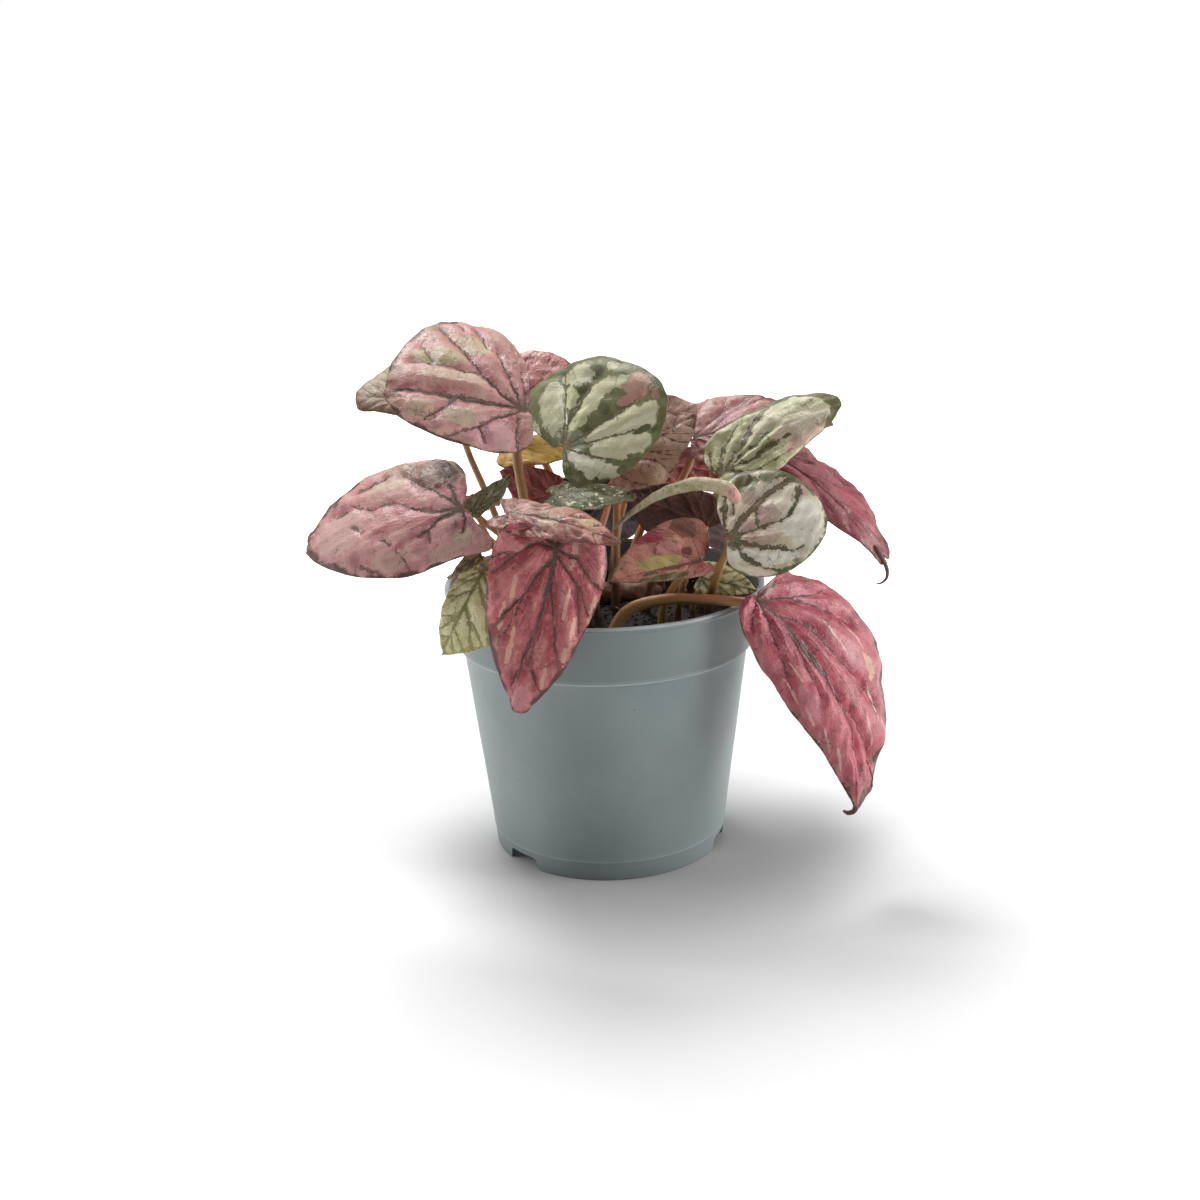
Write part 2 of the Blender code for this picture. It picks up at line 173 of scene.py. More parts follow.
class Wires:
    # short words for adding nodes to one tree
    def __init__(self, tree):
        self.tree = tree

    def node(self, kind, **settings):
        node = self.tree.nodes.new("ShaderNode" + kind)
        for key, value in settings.items():
            setattr(node, key, value)
        return node

    def feed(self, socket, value):
        if isinstance(value, bpy.types.NodeSocket):
            self.tree.links.new(value, socket)
        elif value is not None:
            socket.default_value = value

    def feedAll(self, sockets, values):
        for socket, value in zip(sockets, values):
            self.feed(socket, value)

    def math(self, operation, *values, clamp=False):
        node = self.node("Math", operation=operation, use_clamp=clamp)
        self.feedAll(node.inputs, values)
        return node.outputs[0]

    def vector(self, operation, first, second=None, third=None, scale=None):
        node = self.node("VectorMath", operation=operation)
        self.feedAll(node.inputs, (first, second, third))
        if scale is not None:
            self.feed(node.inputs["Scale"], scale)
        single = operation in ("LENGTH", "DISTANCE", "DOT_PRODUCT")
        return node.outputs["Value" if single else "Vector"]

    def step(self, value, low, high, fromValue=0.0, toValue=1.0):
        node = self.node("MapRange", interpolation_type="SMOOTHSTEP")
        self.feedAll(node.inputs, (value, low, high, fromValue, toValue))
        return node.outputs[0]

    def mix(self, factor, first, second):
        node = self.node("Mix", data_type="RGBA", clamp_factor=True)
        self.feed(node.inputs[0], factor)
        self.feedAll(node.inputs[6:8], (first, second))
        return node.outputs[2]

    def noise(self, vector, scale, detail=3.0, roughness=0.55, distortion=0.0, output="Fac"):
        node = self.node("TexNoise", noise_dimensions="3D")
        self.feed(node.inputs["Vector"], vector)
        for label, value in (("Scale", scale), ("Detail", detail), ("Roughness", roughness),
                             ("Distortion", distortion)):
            self.feed(node.inputs[label], value)
        return node.outputs[output]

    def cells(self, vector, scale, feature="F1"):
        node = self.node("TexVoronoi", feature=feature)
        self.feed(node.inputs["Vector"], vector)
        self.feed(node.inputs["Scale"], scale)
        return node

    def split(self, vector):
        node = self.node("SeparateXYZ")
        self.feed(node.inputs[0], vector)
        return node.outputs

    def join(self, *parts):
        node = self.node("CombineXYZ")
        self.feedAll(node.inputs, parts)
        return node.outputs[0]

    def stretch(self, vector, scale, rotation=(0.0, 0.0, 0.0)):
        node = self.node("Mapping")
        for label, value in (("Vector", vector), ("Rotation", rotation), ("Scale", scale)):
            self.feed(node.inputs[label], value)
        return node.outputs[0]

    def objectPlace(self):
        return self.node("TexCoord").outputs["Object"]

    def uvPlace(self, label):
        return self.node("UVMap", uv_map=label).outputs[0]

    def spread(self, value, amount):
        # noise about its middle, times an amount
        return self.math("MULTIPLY", self.math("SUBTRACT", value, 0.5), amount)

    def bump(self, shader, height, strength, distance):
        node = self.node("Bump")
        self.feed(node.inputs["Strength"], strength)
        self.feed(node.inputs["Distance"], distance)
        self.feed(node.inputs["Height"], height)
        self.feed(shader.inputs["Normal"], node.outputs[0])


def colour(red, green, blue):
    # a screen colour of 0 to 255 as scene-linear red, green, blue, alpha
    def linear(value):
        value /= 255.0
        return value / 12.92 if value <= 0.04045 else ((value + 0.055) / 1.055) ** 2.4
    return (linear(red), linear(green), linear(blue), 1.0)


# One straight stretch of a drawn vein. Nearest is the distance from the veins so far, in millimetres
# and less their half width; it comes out lower where this stretch is nearer.
def buildStretchGroup():
    group, start, end = newGroup(
        "veinStretch",
        [("Place", "Vector", None), ("From", "Vector", None), ("Along", "Vector", None),
         ("Over", "Vector", None), ("Width", "Float", 0.5), ("Taper", "Float", 0.0),
         ("Nearest", "Float", 50.0)],
        [("Nearest", "Float")])
    wires = Wires(group)
    # a trace of Nearest in the place keeps the stretches in order, one after another
    spot = wires.vector("MULTIPLY_ADD", start.outputs["Nearest"], (1e-7, 0.0, 0.0),
                        start.outputs["Place"])
    away = wires.vector("SUBTRACT", spot, start.outputs["From"])
    share = wires.vector("DOT_PRODUCT", away, start.outputs["Over"])
    share = wires.math("ADD", share, 0.0, clamp=True)
    foot = wires.vector("SCALE", start.outputs["Along"], scale=share)
    far = wires.vector("DISTANCE", away, foot)
    width = wires.math("MULTIPLY_ADD", share, start.outputs["Taper"], start.outputs["Width"])
    nearest = wires.math("MINIMUM", wires.math("SUBTRACT", far, width), start.outputs["Nearest"])
    wires.feed(end.inputs["Nearest"], nearest)
    return group


# Evenly branching veins. Veins holds the vein coordinate (whole numbers lie on a vein) and the gap to
# the next vein in millimetres; Rim runs from 0 at the stalk to 1 at the margin.
def buildBranchGroup():
    group, start, end = newGroup(
        "veinBranches",
        [("Veins", "Vector", None), ("Place", "Vector", None), ("Rim", "Float", 0.0),
         ("Width", "Float", 0.35), ("Midrib", "Float", 0.6), ("Fork", "Float", 0.3)],
        [("Nearest", "Float")])
    wires = Wires(group)
    count, gap, _ = wires.split(start.outputs["Veins"])
    across, forward, _ = wires.split(start.outputs["Place"])
    rim = start.outputs["Rim"]
    offCentre = wires.math("SUBTRACT", wires.math("FRACT", wires.math("ADD", count, 0.5)), 0.5)
    away = wires.math("ABSOLUTE", offCentre)
    # past half way out each vein forks in two that reach the margin
    opening = wires.math("MULTIPLY", wires.step(rim, 0.45, 1.0), start.outputs["Fork"])
    main = wires.math("MULTIPLY", away, gap)
    main = wires.math("ADD", main, wires.step(rim, 0.66, 0.9, 0.0, 2.0))
    branch = wires.math("MULTIPLY", wires.math("ABSOLUTE", wires.math("SUBTRACT", away, opening)), gap)
    width = wires.math("MULTIPLY", start.outputs["Width"], wires.step(rim, 0.04, 0.7, 2.4, 0.7))
    nearest = wires.math("SUBTRACT", wires.math("MINIMUM", main, branch), width)
    midribWidth = wires.math("MULTIPLY", start.outputs["Midrib"], wires.step(rim, 0.0, 0.95, 1.1, 0.0))
    midrib = wires.math("SUBTRACT", wires.math("ABSOLUTE", across), midribWidth)
    midrib = wires.math("ADD", midrib, wires.step(forward, 0.0, -1.5, 0.0, 20.0))
    wires.feed(end.inputs["Nearest"], wires.math("MINIMUM", nearest, midrib))
    return group


# What the veins do to the blade: dark line, its core, the ragged band beside it, the panel's edge,
# small twigs and the thin lines that run out from the stalk
def buildVeinGroup():
    group, start, end = newGroup(
        "leafVeins",
        [("Nearest", "Float", 0.0), ("Place", "Vector", None), ("Rim", "Float", 0.0),
         ("Seed", "Float", 0.0), ("Band", "Float", 1.2), ("Ragged", "Float", 0.5),
         ("Reach", "Float", 0.6)],
        [("Vein", "Float"), ("Core", "Float"), ("Band", "Float"), ("Edge", "Float"),
         ("Distance", "Float"), ("Twigs", "Float"), ("Lines", "Float")])
    wires = Wires(group)
    across, forward, _ = wires.split(start.outputs["Place"])
    where = wires.join(across, forward, wires.math("MULTIPLY", start.outputs["Seed"], 7.0))
    ragged = start.outputs["Ragged"]
    nearest = start.outputs["Nearest"]
    wobble = wires.spread(wires.noise(where, 0.8, 4.0, 0.65), wires.math("MULTIPLY", ragged, 1.5))
    loose = wires.math("ADD", nearest, wobble)
    line = wires.step(loose, 0.10, -0.12)
    # away from the stalk the dark line comes and goes
    patchy = wires.step(wires.noise(where, 0.15, 3.0, 0.6), 0.42, 0.52, 0.3, 1.0)
    inner = wires.step(start.outputs["Rim"], start.outputs["Reach"],
                       wires.math("SUBTRACT", start.outputs["Reach"], 0.2))
    wires.feed(end.inputs["Vein"], wires.math("MULTIPLY", line, wires.math("MAXIMUM", patchy, inner)))
    wires.feed(end.inputs["Core"], wires.step(loose, -0.35, -0.6))
    bandWobble = wires.spread(wires.noise(where, 0.28, 5.0, 0.72), wires.math("MULTIPLY", ragged, 8.0))
    banded = wires.math("SUBTRACT", wires.math("ADD", nearest, bandWobble), start.outputs["Band"])
    wires.feed(end.inputs["Band"], wires.step(banded, 0.14, -0.06))
    wires.feed(end.inputs["Edge"], wires.step(wires.math("ABSOLUTE", banded), 0.32, 0.05))
    wires.feed(end.inputs["Distance"], nearest)
    wander = wires.noise(where, 0.35, 3.0, 0.6, output="Color")
    bent = wires.vector("MULTIPLY_ADD", wander, (5.0, 5.0, 0.0), where)
    net = wires.cells(bent, 0.17, "DISTANCE_TO_EDGE").outputs["Distance"]
    some = wires.step(wires.noise(where, 0.16, 3.0, 0.6), 0.53, 0.60)
    wires.feed(end.inputs["Twigs"], wires.math("MULTIPLY", wires.step(net, 0.035, 0.010), some))
    turn = wires.math("ARCTAN2", across, wires.math("ADD", forward, 7.0))
    outward = wires.math("MULTIPLY", wires.vector("LENGTH", start.outputs["Place"]), 0.07)
    along = wires.join(wires.math("MULTIPLY", turn, 14.0), outward, start.outputs["Seed"])
    lines = wires.noise(along, 1.0, 4.0, 0.6, 0.8)
    wires.feed(end.inputs["Lines"], wires.step(lines, 0.48, 0.64))
    return group


# Ragged patch of colour round a flat place on the blade; Squash stretches it along the blade
def buildPatchGroup():
    group, start, end = newGroup(
        "leafPatch",
        [("Place", "Vector", None), ("Centre", "Vector", None), ("Squash", "Vector", (1.0, 1.0, 1.0)),
         ("Radius", "Float", 8.0), ("Ragged", "Float", 6.0)],
        [("Mask", "Float")])
    wires = Wires(group)
    shifted = wires.vector("ADD", start.outputs["Place"], (3.1, 7.7, 0.0))
    noise = wires.noise(shifted, 0.3, 6.0, 0.7)
    away = wires.vector("SUBTRACT", start.outputs["Place"], start.outputs["Centre"])
    far = wires.vector("LENGTH", wires.vector("MULTIPLY", away, start.outputs["Squash"]))
    ragged = wires.math("MULTIPLY", start.outputs["Ragged"], 2.0)
    far = wires.math("ADD", far, wires.spread(noise, ragged))
    low = wires.math("MULTIPLY", start.outputs["Radius"], 1.02)
    high = wires.math("MULTIPLY", start.outputs["Radius"], 0.86)
    wires.feed(end.inputs["Mask"], wires.step(far, low, high))
    return group


# Fine skin of a living leaf: tiny blisters and pores, as a height and a sheen value
def buildSkinGroup():
    group, start, end = newGroup(
        "leafSkin", [("Place", "Vector", None), ("Size", "Float", 1.6)],
        [("Height", "Float"), ("Mottle", "Float")])
    wires = Wires(group)
    cells = wires.cells(start.outputs["Place"], start.outputs["Size"])
    blister = wires.step(cells.outputs["Distance"], 0.75, 0.0)
    grain = wires.noise(start.outputs["Place"], 0.9, 5.0, 0.6)
    height = wires.math("ADD", wires.math("MULTIPLY", blister, 0.5), wires.math("MULTIPLY", grain, 0.7))
    wires.feed(end.inputs["Height"], height)
    wires.feed(end.inputs["Mottle"], grain)
    return group


stretchGroup = buildStretchGroup()
branchGroup = buildBranchGroup()
veinGroup = buildVeinGroup()
patchGroup = buildPatchGroup()
skinGroup = buildSkinGroup()


def newMaterial(name, roughness=None):
    material = bpy.data.materials.new(name)
    material.use_nodes = True
    wires = Wires(material.node_tree)
    shader = material.node_tree.nodes["Principled BSDF"]
    wires.feed(shader.inputs["Roughness"], roughness)
    return material, wires, shader


def mottledMaterial(name, first, second, roughness, size, detail=4.0, spread=(0.35, 0.65)):
    # two colours in clouds; spread is where the noise turns from the first to the second
    material, wires, shader = newMaterial(name, roughness)
    cloud = wires.step(wires.noise(wires.objectPlace(), size, detail, 0.6), *spread)
    wires.feed(shader.inputs["Base Color"], wires.mix(cloud, colour(*first), colour(*second)))
    return material, wires, shader


def useGroup(wires, group, **values):
    node = wires.node("Group", node_tree=group)
    for label, value in values.items():
        wires.feed(node.inputs[label], value)
    return node


print("shader groups ready")


leafPalettes = {
    "pink": {"base": (206, 146, 145), "deep": (176, 106, 112), "pale": (203, 178, 152),
             "band": (150, 108, 94), "vein": (70, 52, 44), "core": (108, 92, 80),
             "rim": (126, 84, 74), "palm": (116, 92, 74), "bandWidth": 0.3, "veinWidth": 0.2,
             "ragged": 0.7, "paleShare": 0.7, "blotch": 0.35, "fleck": 0.35, "edge": 0.35,
             "under": (150, 84, 78), "gloss": 0.40, "reach": 0.55, "rimStart": 0.955},
    "red": {"base": (178, 84, 90), "deep": (146, 52, 60), "pale": (208, 144, 138),
            "band": (140, 74, 72), "vein": (70, 46, 42), "core": (100, 80, 68),
            "rim": (100, 56, 50), "palm": (98, 74, 62), "bandWidth": 0.3, "veinWidth": 0.22,
            "ragged": 0.7, "paleShare": 0.8, "blotch": 0.3, "fleck": 0.25, "edge": 0.15,
            "under": (140, 66, 58), "gloss": 0.36, "reach": 0.6, "rimStart": 0.955},
    "silver": {"base": (196, 196, 152), "deep": (176, 178, 130), "pale": (224, 220, 194),
               "band": (100, 102, 62), "vein": (106, 94, 68), "core": (126, 106, 76),
               "rim": (102, 100, 60), "palm": (126, 106, 74), "bandWidth": 0.4, "veinWidth": 0.3,
               "ragged": 0.9, "paleShare": 0.6, "blotch": 0.5, "fleck": 0.4, "edge": 0.8,
               "under": (140, 86, 66), "gloss": 0.45, "reach": 0.9, "rimStart": 0.93},
    "olive": {"base": (190, 182, 136), "deep": (164, 158, 108), "pale": (206, 196, 154),
              "band": (134, 132, 86), "vein": (96, 94, 60), "core": (118, 110, 74),
              "rim": (126, 108, 74), "palm": (116, 110, 76), "bandWidth": 0.3, "veinWidth": 0.15,
              "ragged": 0.6, "paleShare": 0.6, "blotch": 0.4, "fleck": 0.4, "edge": 0.3,
              "under": (150, 110, 84), "gloss": 0.5, "reach": 0.6, "rimStart": 0.955},
}

# what single leaves change in their palette
leafColours = {
    "far_left": {"base": (202, 178, 146), "deep": (184, 152, 122), "pale": (210, 204, 156),
                 "vein": (150, 124, 92), "band": (176, 144, 112), "rim": (146, 108, 84)},
    "yellow": {"base": (206, 172, 70), "deep": (184, 146, 50), "pale": (216, 190, 96),
               "vein": (160, 124, 48), "band": (188, 152, 58), "rim": (150, 112, 46), "edge": 0.0},
    "thin": {"base": (150, 148, 128), "deep": (116, 114, 96), "vein": (70, 66, 54)},
    "low_left": {"base": (222, 216, 168), "deep": (206, 200, 144), "pale": (236, 226, 184),
                 "vein": (140, 138, 92), "band": (172, 168, 116), "rim": (190, 182, 110)},
    "top_back": {"base": (200, 132, 132), "deep": (180, 106, 110), "vein": (132, 76, 74),
                 "band": (176, 106, 104)},
    "back_right": {"vein": (132, 84, 80), "band": (180, 128, 122)},
    "right_of_crown": {"base": (196, 158, 142), "deep": (170, 128, 114), "band": (100, 88, 64),
                       "vein": (96, 76, 60), "bandWidth": -0.6, "edge": 0.5, "fleck": 0.9,
                       "fleckFrom": 0.60, "crumb": 0.25},
    "behind_crown": {"base": (178, 138, 124), "deep": (160, 120, 106), "pale": (192, 164, 142),
                     "band": (150, 108, 96), "vein": (118, 82, 70), "rim": (140, 100, 86),
                     "bandWidth": -2.0, "edge": 0.0},
    "speckled": {"base": (98, 100, 60), "deep": (78, 80, 46), "pale": (126, 126, 84),
                 "band": (220, 214, 180), "bandWidth": -5.0, "fleck": 1.0, "fleckFrom": 0.575,
                 "crumb": 0.36, "edge": 0.0, "rim": (100, 100, 62), "vein": (70, 68, 46),
                 "blotch": 0.2},
    # big_red's flecks, in its cream band colour, are painted highlights
    "big_red": {"base": (186, 80, 94), "deep": (154, 50, 68), "pale": (212, 140, 142),
                "band": (222, 186, 166), "bandWidth": -5.0, "fleck": 0.8, "fleckFrom": 0.64,
                "patchRagged": 1.5},
    "young": {"base": (200, 128, 112), "deep": (176, 100, 88), "pale": (212, 160, 132),
              "band": (150, 112, 76), "rim": (96, 92, 50), "rimStart": 0.97, "veinWidth": 0.06,
              "vein": (140, 76, 66), "edge": 0.0, "bandWidth": -1.0, "core": (150, 86, 70)},
    "far_right": {"base": (182, 104, 110), "deep": (154, 80, 88), "pale": (196, 132, 128),
                  "vein": (120, 62, 64), "band": (164, 92, 96), "veinWidth": 0.05, "edge": 0.0,
                  "under": (150, 88, 60)},
    "crown": {"base": (106, 108, 64), "deep": (84, 88, 46), "pale": (132, 134, 92),
              "rim": (106, 104, 62), "rimStart": 0.955, "bandWidth": -5.0, "edge": 0.0,
              "fleck": 0.0, "blotch": 0.5, "paleShare": 0.0, "patchRagged": 0.75,
              "core": (120, 112, 84)},
    "silver_round": {"base": (208, 190, 170), "deep": (196, 182, 148), "band": (96, 98, 62),
                     "bandWidth": -0.1, "rimStart": 0.95},
    "upper_right": {"bandWidth": -0.1, "band": (112, 112, 70)},
    # back_middle and back_low have their undersides darkened: painted shade deep behind the plant
    "back_middle": {"under": (64, 42, 36)},
    "back_low": {"under": (92, 44, 40)},
    "front": {"patchRagged": 1.5},
    "left": {"fleck": 0.15, "blotch": 0.15, "base": (214, 150, 150), "deep": (190, 116, 122),
             "pale": (216, 178, 164), "rim": (98, 66, 56)},
    "top_left": {"fleck": 0.25, "rim": (98, 66, 56)},
    "ridge": {"veinWidth": 0.04, "edge": 0.0, "base": (186, 132, 120), "deep": (156, 102, 92),
              "pale": (192, 154, 132), "vein": (128, 84, 74), "core": (140, 92, 80),
              "band": (120, 80, 66)},
    "hollow": {"under": (96, 60, 46), "rim": (170, 156, 122)},
}


def nearestVein(wires, name, palette, placeMap, rim, midrib):
    strokes = leafStrokes.get(name)
    if strokes is None:
        veins = useGroup(wires, branchGroup, Veins=wires.uvPlace("veinMap"), Place=placeMap, Rim=rim,
                         Width=palette["veinWidth"], Midrib=midrib, Fork=bladeSettings["fork"])
        return veins.outputs[0]
    # drawn veins wander a little and are jagged
    middle = (0.5, 0.5, 0.5)
    wander = wires.vector("SUBTRACT", wires.noise(placeMap, 0.13, 2.0, 0.5, output="Color"), middle)
    jag = wires.vector("SUBTRACT", wires.noise(placeMap, 0.7, 3.0, 0.6, output="Color"), middle)
    moved = wires.vector("ADD", wires.vector("MULTIPLY", wander, (2.6, 2.6, 0.0)),
                         wires.vector("MULTIPLY", jag, (2.0, 2.0, 0.0)))
    moved = wires.vector("ADD", moved, placeMap)
    nearest = bladeSettings["farAway"]
    for start, end, width, nextWidth in stretches(strokes, bladeSettings["strokeScale"]):
        along = np.subtract(end, start)
        over = along / (along @ along)
        stretch = useGroup(wires, stretchGroup, Place=moved, From=(*map(float, start), 0.0),
                           Along=(*map(float, along), 0.0), Over=(*map(float, over), 0.0),
                           Width=float(width), Taper=float(nextWidth - width), Nearest=nearest)
        nearest = stretch.outputs[0]
    return nearest


def stretches(strokes, scale):
    # the straight stretches of all strokes, each with its half widths
    for first, last, *places in strokes:
        widths = np.linspace(first, last, len(places)) * scale
        yield from zip(places, places[1:], widths, widths[1:])


def leafMaterial(name, palette, seed, midrib):
    material, wires, shader = newMaterial("leaf_" + name)
    placeMap = wires.uvPlace("placeMap")
    rim = wires.node("Attribute", attribute_name="rim").outputs["Fac"]
    nearest = nearestVein(wires, name, palette, placeMap, rim, midrib)
    veins = useGroup(wires, veinGroup, Nearest=nearest, Place=placeMap, Rim=rim, Seed=float(seed),
                     Band=palette["bandWidth"], Ragged=palette["ragged"], Reach=palette["reach"]).outputs
    skin = useGroup(wires, skinGroup, Place=placeMap).outputs
    shifted = wires.vector("ADD", placeMap, (seed * 11.3, seed * 5.7, seed))
    cloud = wires.noise(shifted, 0.085, 5.0, 0.62, 0.4)
    crumbs = wires.noise(shifted, palette["crumb"], 5.0, 0.7)
    # panels between the veins: base, deeper clouds, patches, pale streaks
    paint = wires.mix(wires.step(cloud, 0.46, 0.56), palette["base"], palette["deep"])
    blotch = wires.noise(shifted, 0.13, 6.0, 0.72, 0.6)
    paint = wires.mix(wires.step(blotch, 0.54, 0.58, 0.0, palette["blotch"]), paint, palette["pale"])
    for spotColour, across, forward, halfWidth, halfLength in leafPatches.get(name, ()):
        patch = useGroup(wires, patchGroup, Place=placeMap, Centre=(float(across), float(forward), 0.0),
                         Squash=(1.0, halfWidth / halfLength, 1.0), Radius=float(halfWidth),
                         Ragged=halfWidth * palette["patchRagged"])
        paint = wires.mix(patch.outputs["Mask"], paint, colour(*spotColour))
    streak = wires.math("MULTIPLY", veins["Lines"], wires.step(crumbs, 0.38, 0.56, 0.3, 1.0))
    paint = wires.mix(wires.math("MULTIPLY", streak, palette["paleShare"] * 0.7), paint,
                      palette["pale"])
    # away from the veins the panels turn paler: a painted highlight on the puffed panels
    paint = wires.mix(wires.step(veins["Distance"], 1.2, 4.5, 0.0, 0.3), paint, palette["pale"])
    # band beside each vein, flecks, twigs, the vein itself and the rim
    rimStart = palette["rimStart"]
    edge = wires.step(wires.math("ADD", rim, wires.spread(cloud, 0.35)), rimStart, rimStart + 0.04)
    paint = wires.mix(wires.math("MAXIMUM", veins["Band"], edge), paint, palette["band"])
    paint = wires.mix(edge, paint, palette["rim"])
    fleckFrom = palette["fleckFrom"]
    fleck = wires.step(crumbs, fleckFrom, fleckFrom + 0.03, 0.0, palette["fleck"])
    paint = wires.mix(fleck, paint, palette["band"])
    dark = wires.math("MAXIMUM", wires.math("MULTIPLY", veins["Twigs"], 0.6),
                      wires.math("MULTIPLY", veins["Edge"], palette["edge"]))
    paint = wires.mix(dark, paint, colour(66, 58, 42))
    paint = wires.mix(veins["Vein"], paint, palette["vein"])
    paint = wires.mix(veins["Core"], paint, palette["core"])
    palm = wires.step(wires.math("ADD", rim, wires.math("MULTIPLY", crumbs, 0.1)), 0.2, 0.07, 0.0, 0.8)
    paint = wires.mix(palm, paint, palette["palm"])
    if name in leafShade:
        paint = wires.mix(leafShade[name], paint, colour(20, 14, 12))
    wires.feed(shader.inputs["Base Color"], paint)
    gloss = palette["gloss"]
    wires.feed(shader.inputs["Roughness"],
               wires.step(skin["Mottle"], 0.2, 0.8, gloss - 0.06, gloss + 0.12))
    shader.inputs["Specular IOR Level"].default_value = 0.45
    groove = wires.math("SUBTRACT", skin["Height"], wires.math("MULTIPLY", veins["Vein"], 0.9))
    wires.bump(shader, groove, 0.55, 0.00035)
    return material


def undersideMaterial(name, palette, seed, midrib):
    material, wires, shader = newMaterial("underside_" + name)
    placeMap = wires.uvPlace("placeMap")
    rim = wires.node("Attribute", attribute_name="rim").outputs["Fac"]
    nearest = wires.math("SUBTRACT", nearestVein(wires, name, palette, placeMap, rim, midrib), 0.25)
    veins = useGroup(wires, veinGroup, Nearest=nearest, Place=placeMap, Rim=rim, Seed=float(seed),
                     Ragged=0.3, Reach=1.2).outputs
    skin = useGroup(wires, skinGroup, Place=placeMap).outputs
    red, green, blue, _ = palette["under"]
    dark = (red * 0.6, green * 0.5, blue * 0.55, 1.0)
    paleRib = (min(1.0, red * 1.5), green * 1.5, blue * 1.4, 1.0)
    paint = wires.mix(wires.step(skin["Mottle"], 0.3, 0.7), palette["under"], dark)
    paint = wires.mix(wires.math("MULTIPLY", veins["Vein"], 0.7), paint, paleRib)
    wires.feed(shader.inputs["Base Color"], paint)
    wires.feed(shader.inputs["Roughness"], wires.step(skin["Mottle"], 0.2, 0.8, 0.45, 0.6))
    ribs = wires.math("ADD", wires.math("MULTIPLY", skin["Height"], 0.5),
                      wires.math("MULTIPLY", veins["Vein"], 1.2))
    wires.bump(shader, ribs, 0.6, 0.0006)
    return material


def evenVeins(angle, *sides):
    # left and right, each (gap, start): fixed veins round the stalk, then one at every gap
    return [(angle, 0.012, (-36, -24, -13, start - 5, *[start + gap * step for step in range(9)]))
            for gap, start in sides]


